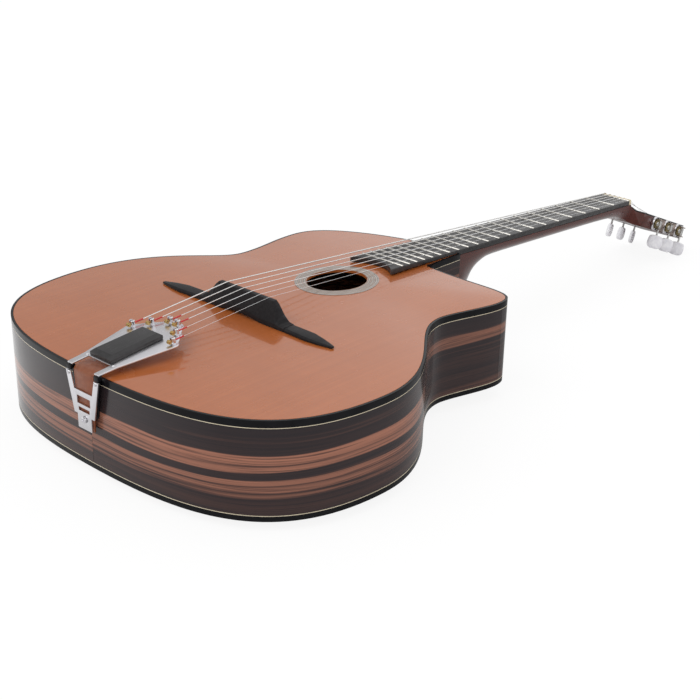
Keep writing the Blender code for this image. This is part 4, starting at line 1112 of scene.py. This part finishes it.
def make_cover(sign):
    """Round cup round a gear, on the head's side, with an opening where the worm passes."""
    cover = take_primitive("cylinder", vertices=COVER_SIDES, radius=COVER_RADIUS,
                           depth=COVER_X[1] - COVER_X[0], rotation=(0, RIGHT_ANGLE, 0),
                           location=(sign * sum(COVER_X) / 2, 0, 0))
    settle(cover)
    open_mesh(cover)
    pick_faces(cover, lambda middle, normal: normal.x * sign > FACING)
    bpy.ops.mesh.inset(thickness=COVER_RIM)
    bpy.ops.mesh.inset(thickness=METAL_EDGE, depth=COVER_FLOOR - COVER_X[1])
    close_mesh()
    cut(cover, take_block(GATE_SIZE, (sign * (COVER_FLOOR + GATE_SIZE[0] / 2), WORM_OFFSET, 0)))
    return round_edges(cover, METAL_EDGE, angle=30)


def make_screw_head(size, slot):
    """A low domed screw head on the XY plane, with one slot."""
    radius, height = size
    head = take_primitive("cylinder", vertices=SCREW_SIDES, radius=radius, depth=height,
                          location=(0, 0, height / 2))
    settle(head)
    open_mesh(head)
    pick_faces(head, lambda middle, normal: normal.z > FACING)
    for inset, rise in SCREW_STEPS:
        bpy.ops.mesh.inset(thickness=radius * inset)
        bpy.ops.transform.translate(value=(0, 0, height * rise))
    close_mesh()
    top = height * (1 + sum(rise for inset, rise in SCREW_STEPS))
    cut(head, take_block((3 * radius, slot[0], 2 * slot[1]), (0, 0, top)))
    return round_edges(head, radius * 0.05, angle=50)


def make_worm_thread():
    """A round rib that winds round a worm, which stands on the Z axis."""
    length = WORM_TURNS * WORM_RISE
    thread = take_primitive("circle", vertices=8, radius=WORM_RIB_RADIUS, rotation=(RIGHT_ANGLE, 0, 0),
                            location=(WORM_RIB_PLACE, 0, -length / 2), fill_type='NOTHING')
    settle(thread)
    modify(thread, 'SCREW', screw_offset=length, iterations=1, angle=2 * math.pi * WORM_TURNS,
           steps=WORM_STEPS, render_steps=WORM_STEPS, use_merge_vertices=True, merge_threshold=1e-5,
           use_smooth_shade=True)
    open_mesh(thread, 'EDGE')
    bpy.ops.mesh.select_non_manifold()
    bpy.ops.mesh.fill()
    bpy.ops.mesh.select_all(action='SELECT')
    bpy.ops.mesh.normals_make_consistent(inside=False)
    close_mesh()
    return thread


def string_side(number):
    """The side of a string or tuner, and its count from the outer string inwards."""
    return (1, number - 1) if number <= 3 else (-1, 6 - number)


def roller_s(k):
    """How far along the head a roller lies."""
    return ROLLER_S + k * ROLLER_PITCH


def build_button(number):
    """Pearly finger button on its steel stem, with the worm's thread."""
    sign, k = string_side(number)
    body = f"button_{number}"
    button = take_node(f"tuner_button_{number}", HEAD, flat=None)
    curve_smoothly(button, angle=50)
    round_edges(button, METAL_EDGE / 2)
    finish(button, f"button_{number}_knob", (pearloid, steel), body,
           [f"tuner_button_{number}"], HEAD)
    back = HEAD.inverted()
    use_second_surface(button, lambda face: (back @ face.center).z > ROLLER_N - KNOB_TOP)
    thread = make_worm_thread()
    thread.location = (sign * WORM_X, roller_s(k) + WORM_OFFSET, ROLLER_N)
    finish(thread, f"button_{number}_worm", steel, body, space=HEAD)


def build_roller(number):
    """Roller with its brass gear, dished in its face, and the screw that holds the gear."""
    sign, k = string_side(number)
    body = f"roller_{number}"
    roller = take_node(f"tuner_roller_{number}", HEAD)

    def gear_face(middle, normal):
        return normal.x * sign > FACING and GEAR_FACE < abs(middle.x) < GEAR_FACE + GEAR_FACE_GAP

    open_mesh(roller)
    pick_faces(roller, gear_face)
    bpy.ops.mesh.inset(thickness=GEAR_RIM)
    bpy.ops.mesh.inset(thickness=METAL_EDGE, depth=-GEAR_DISH)
    close_mesh()
    round_edges(roller, METAL_EDGE, angle=40)
    finish(roller, f"roller_{number}_gear", (steel, dark_brass), body,
           [f"tuner_roller_{number}"], HEAD, smooth=32)
    use_second_surface(roller, lambda face: GEAR_X[0] < abs(face.center.x) < GEAR_X[1])
    screw = make_screw_head(GEAR_SCREW, GEAR_SCREW_SLOT)
    screw.data.transform(Matrix.Translation((sign * GEAR_SCREW_X, roller_s(k), ROLLER_N))
                         @ Matrix.Rotation(sign * RIGHT_ANGLE, 4, 'Y')
                         @ Matrix.Rotation(0.6 * number, 4, 'Z'))
    finish(screw, f"roller_{number}_screw", steel, body, space=HEAD)


class GUITAR_OT_tuners(bpy.types.Operator):
    """Tuner plates with round covers, rollers with brass gears, worms and pearly buttons"""
    bl_idname = "guitar.tuners"
    bl_label = "Tuners"

    def execute(self, context):
        for side, sign in SIDES.items():
            node = f"tuner_plate_{side}"
            plate = take_node(node, HEAD)
            round_edges(plate, METAL_EDGE, angle=40)
            finish(plate, node + "_bar", worn_plate, replaces=[node], space=HEAD, smooth=32)
            pattern = make_cover(sign)
            for k in range(3):
                cover = place_copy(pattern, Matrix.Translation((0, roller_s(k), ROLLER_N)))
                finish(cover, f"gear_cover_{side}_{k}", chrome, space=HEAD)
            throw_away(pattern)
        for number in range(1, 7):
            build_button(number)
            build_roller(number)
        return {'FINISHED'}


# Bridge and tailpiece

class GUITAR_OT_bridge(bpy.types.Operator):
    """Floating bridge and the two ends of its moustache"""
    bl_idname = "guitar.bridge"
    bl_label = "Bridge"

    def execute(self, context):
        sizes = context.scene.guitar_sizes
        for node in ("bridge", "moustache_bass", "moustache_treble"):
            piece = take_node(node)
            round_edges(piece, sizes.edge, segments=3, angle=12)
            finish(piece, node + "_ebony", bridge_ebony, replaces=[node], smooth=20)
        return {'FINISHED'}


POST_HALF = (0.0031, 0.0022)
POST_AHEAD = 0.0009                         # post centre in front of its place, clear of the ball
POST_HEIGHT = 0.0066
POST_SLOT = 0.0017
SLOT_FLOOR = 0.0020
SAW_REACH = 0.01
PLATE_EDGE = 0.00035
RIVET = (0.0016, 0.0010)                    # radius and height
RIVET_PLACE = (0.0178, 0.0135)
HINGE_SCREW = (0.0020, 0.0016)
HINGE_SCREW_PLACE = (0.0184, -0.0062, 0.0886)
TAB_SCREW_FACE = (0, -0.0084, 0.0495)
CROSS_BLADE = (0.0008, 0.0022, 0.0042)      # each of the two slots in the tab's screw
CROSS_TURN = 0.5
SUNK = 0.0001                               # how far a rivet's foot is sunk in the plate
STRAP_EDGE = 0.0005


def make_post():
    """Slotted post that holds a string: a flattened round post with a rounded top."""
    post = take_primitive("cylinder", vertices=32, radius=1.0, depth=POST_HEIGHT,
                          location=(0, POST_AHEAD, POST_HEIGHT / 2))
    post.scale = (*POST_HALF, 1)
    settle(post)
    round_edges(post, 0.0007, segments=4)
    cut(post, take_block((POST_SLOT, SAW_REACH, POST_HEIGHT), (0, 0, SLOT_FLOOR + POST_HEIGHT / 2)))
    return round_edges(post, 0.00015, angle=60)


def build_tail_plate():
    """The plate with the construction's plain posts cut off, and a finer post in each place."""
    plate = take_node("tailpiece_frame")

    def above_plate(middle, normal):
        return middle.z > tailplate(middle.y) + TAILPLATE_HALF + 0.0003

    open_mesh(plate)
    pick_faces(plate, above_plate)
    bpy.ops.mesh.delete(type='FACE')
    bpy.ops.mesh.select_mode(type='EDGE')
    bpy.ops.mesh.select_non_manifold()
    bpy.ops.mesh.edge_face_add()
    bpy.ops.mesh.select_all(action='SELECT')
    bpy.ops.mesh.dissolve_limited(angle_limit=math.radians(1))
    close_mesh()
    round_edges(plate, PLATE_EDGE, segments=3, angle=40)
    finish(plate, "tail_plate", satin_plate, replaces=["tailpiece_frame"], smooth=30)
    pattern = make_post()
    lean = Matrix.Rotation(math.atan(TAILPLATE_RISE), 4, 'X')
    for k, (x, y) in enumerate(POSTS):
        for side, sign in SIDES.items():
            foot = Matrix.Translation((sign * x, y, tailplate(y) + TAILPLATE_HALF - 2 * SUNK))
            post = place_copy(pattern, foot @ lean)
            finish(post, f"string_post_{side}_{k}", chrome)
    throw_away(pattern)


def make_dome(radius, height):
    """A low round rivet head on the XY plane."""
    dome = take_primitive("uv_sphere", segments=24, ring_count=12, radius=radius)
    keep_top_half(dome)
    dome.scale = (1, 1, height / radius)
    return settle(dome)


def build_tail_screws():
    """Rivets on the plate's arms, domed screws below the hinges, and the screw in the tab."""
    rivet = make_dome(*RIVET)
    hinge_screw = make_dome(*HINGE_SCREW)
    upright = Matrix.Rotation(RIGHT_ANGLE, 4, 'X')
    for side, sign in SIDES.items():
        x, y = RIVET_PLACE
        place = Matrix.Translation((sign * x, y, tailplate(y) + TAILPLATE_HALF - SUNK))
        finish(place_copy(rivet, place), f"plate_rivet_{side}", chrome)
        x, y, z = HINGE_SCREW_PLACE
        place = Matrix.Translation((sign * x, y, z)) @ upright
        finish(place_copy(hinge_screw, place), f"hinge_screw_{side}", chrome)
    throw_away(rivet)
    throw_away(hinge_screw)
    screw = curve_smoothly(take_node("tailpiece_screw", flat=None))
    for turn in (CROSS_TURN, CROSS_TURN + RIGHT_ANGLE):
        cut(screw, take_block(CROSS_BLADE, TAB_SCREW_FACE, (0, turn, 0)))
    finish(screw, "tab_screw", chrome, replaces=["tailpiece_screw"])


class GUITAR_OT_tailpiece(bpy.types.Operator):
    """Plate, insert, hinge blocks, hanger, leather strap and their screws"""
    bl_idname = "guitar.tailpiece"
    bl_label = "Tailpiece"

    def execute(self, context):
        sizes = context.scene.guitar_sizes
        build_tail_plate()
        for node, name, surface, slot in (
                ("tailpiece_insert", "tail_insert", board_ebony, "ebony"),
                ("tailpiece_hanger", "tail_hanger", satin_plate, "chrome"),
                ("tailpiece_backing", "tail_backing", black_binding, "black_binding"),
                ("hinge_block_bass", "hinge_bass", black_binding, "black_binding"),
                ("hinge_block_treble", "hinge_treble", black_binding, "black_binding")):
            piece = round_edges(take_node(node), sizes.edge * 0.75, segments=3)
            finish(piece, name, surface, replaces=[node], smooth=30)
        strap = round_edges(take_node("tailpiece_pad"), STRAP_EDGE)
        finish(strap, "tail_strap", leather, replaces=["tailpiece_pad"], smooth=60)
        build_tail_screws()
        return {'FINISHED'}


# Strings

STRING_GAP = 0.00005                        # between a string and what carries it
BALL_BEHIND = 0.0016                        # ball's face behind its post's place
BALL_LENGTH = 0.0034
BALL_GROOVE = (0.0005, 0.0006)              # half width and depth
NUT_STEP = Vector((0, 0.0045, -0.0001))     # from the zero fret to the nut
FIRST_ON_ROLLER = 0.0170                    # how far from the middle the outer string arrives
NEXT_ON_ROLLER = 0.0035                     # how much nearer the middle each next one does
TURNS = 3
TURN_STEPS = 20


def make_tube(name, path, radius, sides=8):
    """A round tube along a path of points, with closed ends."""
    curve = bpy.data.curves.new(name, 'CURVE')
    curve.dimensions = '3D'
    curve.bevel_depth = radius
    curve.bevel_resolution = max(0, sides // 4 - 1)
    curve.use_fill_caps = True
    line = curve.splines.new('POLY')
    line.points.add(len(path) - 1)
    for point, place in zip(line.points, path):
        point.co = (*place, 1.0)
    piece = bpy.data.objects.new(name, curve)
    bpy.context.scene.collection.objects.link(piece)
    activate(piece)
    bpy.ops.object.convert(target='MESH')
    return bpy.context.active_object


def string_places(number):
    """The string's points: at its ball, over the bridge, the zero fret and the nut, on its roller."""
    sign, k = string_side(number)
    radius = STRING_RADII[number - 1]
    x, y = sign * POSTS[k][0], POSTS[k][1] - BALL_BEHIND
    ball = Vector((x, y, tailplate(y) + STRING_OVER_PLATE))
    saddle = Vector((sign * SPREAD_SADDLE[k], SADDLE_Y, SADDLE_Z + radius))
    crown_z = fret_plane(ZERO_FRET_Y) + radius + STRING_GAP
    crown = Vector((sign * SPREAD_NUT[k], ZERO_FRET_Y, crown_z))
    lift = BARREL_RADIUS + radius + 2 * STRING_GAP
    arrival = FIRST_ON_ROLLER - NEXT_ON_ROLLER * k
    roller = head_matrix() @ Vector((sign * arrival, roller_s(k), ROLLER_N + lift))
    return radius, (ball, saddle, crown, crown + NUT_STEP, roller)


def make_ball():
    """Brass ball end: a bead with a groove, its axis along X."""
    sizes = bpy.context.scene.guitar_sizes
    half_width, depth = BALL_GROOVE
    ball = take_primitive("cylinder", vertices=24, radius=sizes.ball_radius, depth=BALL_LENGTH,
                          rotation=(0, RIGHT_ANGLE, 0))
    settle(ball)
    open_mesh(ball, select='SELECT')
    for place in (-half_width, half_width):
        bpy.ops.mesh.bisect(plane_co=(place, 0, 0), plane_no=(1, 0, 0))
        bpy.ops.mesh.select_all(action='SELECT')
    pick_faces(ball, lambda middle, normal: abs(middle.x) < half_width / 2 and abs(normal.x) < 0.5)
    bpy.ops.mesh.extrude_region_shrink_fatten(TRANSFORM_OT_shrink_fatten={"value": -depth})
    close_mesh()
    return round_edges(ball, 0.0004, segments=3, angle=50)


def wrap_path(number, radius):
    """Turns of string round its roller, one turn's width away from where the string arrives."""
    sign, k = string_side(number)
    arrival = FIRST_ON_ROLLER - NEXT_ON_ROLLER * k
    pitch = 2.3 * radius + 2 * STRING_GAP
    direction = -1 if k == 0 else 1
    reach = BARREL_RADIUS + radius + STRING_GAP
    points = []
    for step in range(TURNS * TURN_STEPS + 1):
        angle = 2 * math.pi * step / TURN_STEPS
        x = sign * (arrival + direction * pitch * (1 + step / TURN_STEPS))
        points.append((x, roller_s(k) + reach * math.sin(angle), ROLLER_N + reach * math.cos(angle)))
    return points


def build_string(number, pattern):
    """A string from its ball to its roller, with its silk, its ball end and its turns."""
    sizes = bpy.context.scene.guitar_sizes
    name = f"string_{number}"
    surface = wound_string if number >= WOUND_FROM else plain_string
    radius, places = string_places(number)
    string = make_tube(name + "_line", places, radius)
    finish(string, name + "_line", surface, replaces=[name], smooth=60)
    ball, saddle = places[:2]
    silk_end = ball + (saddle - ball).normalized() * sizes.silk_length
    wrap = make_tube(name + "_silk", (ball, silk_end), max(0.0007, radius + 0.0002), sides=12)
    finish(wrap, name + "_silk", silk, smooth=60)
    bead = place_copy(pattern, Matrix.Translation(ball - Vector((0, sizes.ball_radius, 0))))
    finish(bead, name + "_ball", brass, smooth=40)
    coil = make_tube(name + "_turns", wrap_path(number, radius), radius)
    finish(coil, name + "_turns", surface, f"roller_{number}", space=HEAD, smooth=60)


class GUITAR_OT_strings(bpy.types.Operator):
    """Six strings with brass ball ends, red silk and turns round the rollers"""
    bl_idname = "guitar.strings"
    bl_label = "Strings"

    def execute(self, context):
        pattern = make_ball()
        for number in range(1, 7):
            build_string(number, pattern)
        throw_away(pattern)
        return {'FINISHED'}


# Studio

SEEN_FLOOR = 1.04                           # what the camera sees of the floor
FLOOR_GLOW = 0.85                           # the floor's share of plain white, the rest takes shadow
FLOOR_GREY = 0.92
FLOOR_LEVEL = -0.0002
SKY_SIDE = (0.79, 0.61, 0.2)                # towards the brighter side of the sky
LAMP_TURN = tuple(math.radians(angle) for angle in (32, -28, 20))
LAMP_WIDTH = math.radians(40)


def seen_level(tree, white, mirrored, plain):
    """One level for what the camera sees, one for reflections and one for the light that falls."""
    paths = add_node(tree, 'ShaderNodeLightPath').outputs
    seen = math_node(tree, 'MAXIMUM', paths["Is Camera Ray"], paths["Is Transmission Ray"])
    level = math_node(tree, 'MULTIPLY', seen, white)
    level = math_node(tree, 'ADD', level, math_node(tree, 'MULTIPLY', paths["Is Glossy Ray"], mirrored))
    other = math_node(tree, 'SUBTRACT', 1.0, math_node(tree, 'MAXIMUM', seen, paths["Is Glossy Ray"]))
    return math_node(tree, 'ADD', level, math_node(tree, 'MULTIPLY', other, plain))


def floor_surface():
    """White floor with a faint shadow; reflections find it dimmer towards the treble side."""
    surface = bpy.data.materials.new("studio_floor")
    surface.use_nodes = True
    tree = surface.node_tree
    tree.nodes.clear()
    place = add_node(tree, 'ShaderNodeTexCoord').outputs["Object"]
    parts = add_node(tree, 'ShaderNodeSeparateXYZ', {0: place})
    dimmer = spread(tree, parts.outputs["X"], -0.25, 0.15, 1.0, 0.30)
    pale = add_node(tree, 'ShaderNodeBsdfDiffuse', {"Color": (*(FLOOR_GREY,) * 3, 1)})
    glow = add_node(tree, 'ShaderNodeEmission', {"Strength": seen_level(tree, SEEN_FLOOR, dimmer, 0.0)})
    share = seen_level(tree, FLOOR_GLOW, FLOOR_GLOW, 0.0)
    blend = add_node(tree, 'ShaderNodeMixShader', {0: share, 1: pale.outputs[0], 2: glow.outputs[0]})
    add_node(tree, 'ShaderNodeOutputMaterial', {"Surface": blend.outputs[0]})
    return surface


def set_sky(strength):
    """White to the camera; reflections find it brighter high up and behind the treble side."""
    world = bpy.data.worlds.new("studio")
    bpy.context.scene.world = world
    world.use_nodes = True
    tree = world.node_tree
    tree.nodes.clear()
    towards = add_node(tree, 'ShaderNodeTexCoord').outputs["Generated"]
    side = add_node(tree, 'ShaderNodeVectorMath', {0: towards, 1: SKY_SIDE}, operation='DOT_PRODUCT')
    mirrored = spread(tree, side.outputs["Value"], -0.20, 0.10, 0.50, 0.95)
    level = seen_level(tree, 1.0, mirrored, strength)
    sky = add_node(tree, 'ShaderNodeBackground', {"Color": (1, 1, 1, 1), "Strength": level})
    add_node(tree, 'ShaderNodeOutputWorld', {"Surface": sky.outputs[0]})


class GUITAR_OT_studio(bpy.types.Operator):
    """Camera, floor, sky and lamp"""
    bl_idname = "guitar.studio"
    bl_label = "Studio"

    def execute(self, context):
        studio = context.scene.guitar_studio
        context.scene.view_settings.view_transform = 'Standard'
        bpy.ops.object.camera_add(location=studio.camera_place, rotation=studio.camera_turn)
        camera = context.active_object
        camera.data.lens = studio.lens
        camera.data.clip_start = 0.01
        context.scene.camera = camera
        floor = take_primitive("plane", size=studio.floor, location=(0, 0, FLOOR_LEVEL))
        floor.name = "floor"
        floor.data.materials.append(floor_surface())
        bpy.ops.object.light_add(type='SUN', rotation=LAMP_TURN)
        lamp = context.active_object
        lamp.data.energy = studio.lamp
        lamp.data.angle = LAMP_WIDTH
        set_sky(studio.sky)
        return {'FINISHED'}


class GUITAR_PT_pieces(bpy.types.Panel):
    """Pieces of the guitar, in the order in which they are built"""
    bl_label = "Guitar"
    bl_idname = "GUITAR_PT_pieces"
    bl_space_type = 'VIEW_3D'
    bl_region_type = 'UI'
    bl_category = "Guitar"

    def draw(self, context):
        scene = context.scene
        for group in (scene.guitar_sizes, scene.guitar_colours, scene.guitar_studio):
            box = self.layout.box()
            for name in group.__annotations__:
                box.prop(group, name)
        for operator in OPERATORS:
            self.layout.operator(operator.bl_idname)


OPERATORS = (GUITAR_OT_studio, GUITAR_OT_body, GUITAR_OT_inside, GUITAR_OT_rosette, GUITAR_OT_neck,
             GUITAR_OT_fingerboard, GUITAR_OT_head, GUITAR_OT_tuners, GUITAR_OT_bridge,
             GUITAR_OT_tailpiece, GUITAR_OT_strings)
GROUPS = {"guitar_sizes": GuitarSizes, "guitar_colours": GuitarColours, "guitar_studio": GuitarStudio}


def register():
    """Register the groups of values, the operators and the panel."""
    for group in GROUPS.values():
        bpy.utils.register_class(group)
    for name, group in GROUPS.items():
        setattr(bpy.types.Scene, name, PointerProperty(type=group))
    for kind in (*OPERATORS, GUITAR_PT_pieces):
        bpy.utils.register_class(kind)


def unregister():
    """Take away what register added."""
    for kind in reversed((*OPERATORS, GUITAR_PT_pieces)):
        bpy.utils.unregister_class(kind)
    for name, group in GROUPS.items():
        delattr(bpy.types.Scene, name)
        bpy.utils.unregister_class(group)


def plain(bounds):
    return [[float(value) for value in corner] for corner in bounds]


def main():
    """Build every piece in order."""
    register()
    for operator in OPERATORS:
        group, name = operator.bl_idname.split(".")
        getattr(getattr(bpy.ops, group), name)()


if __name__ == "__main__":
    main()
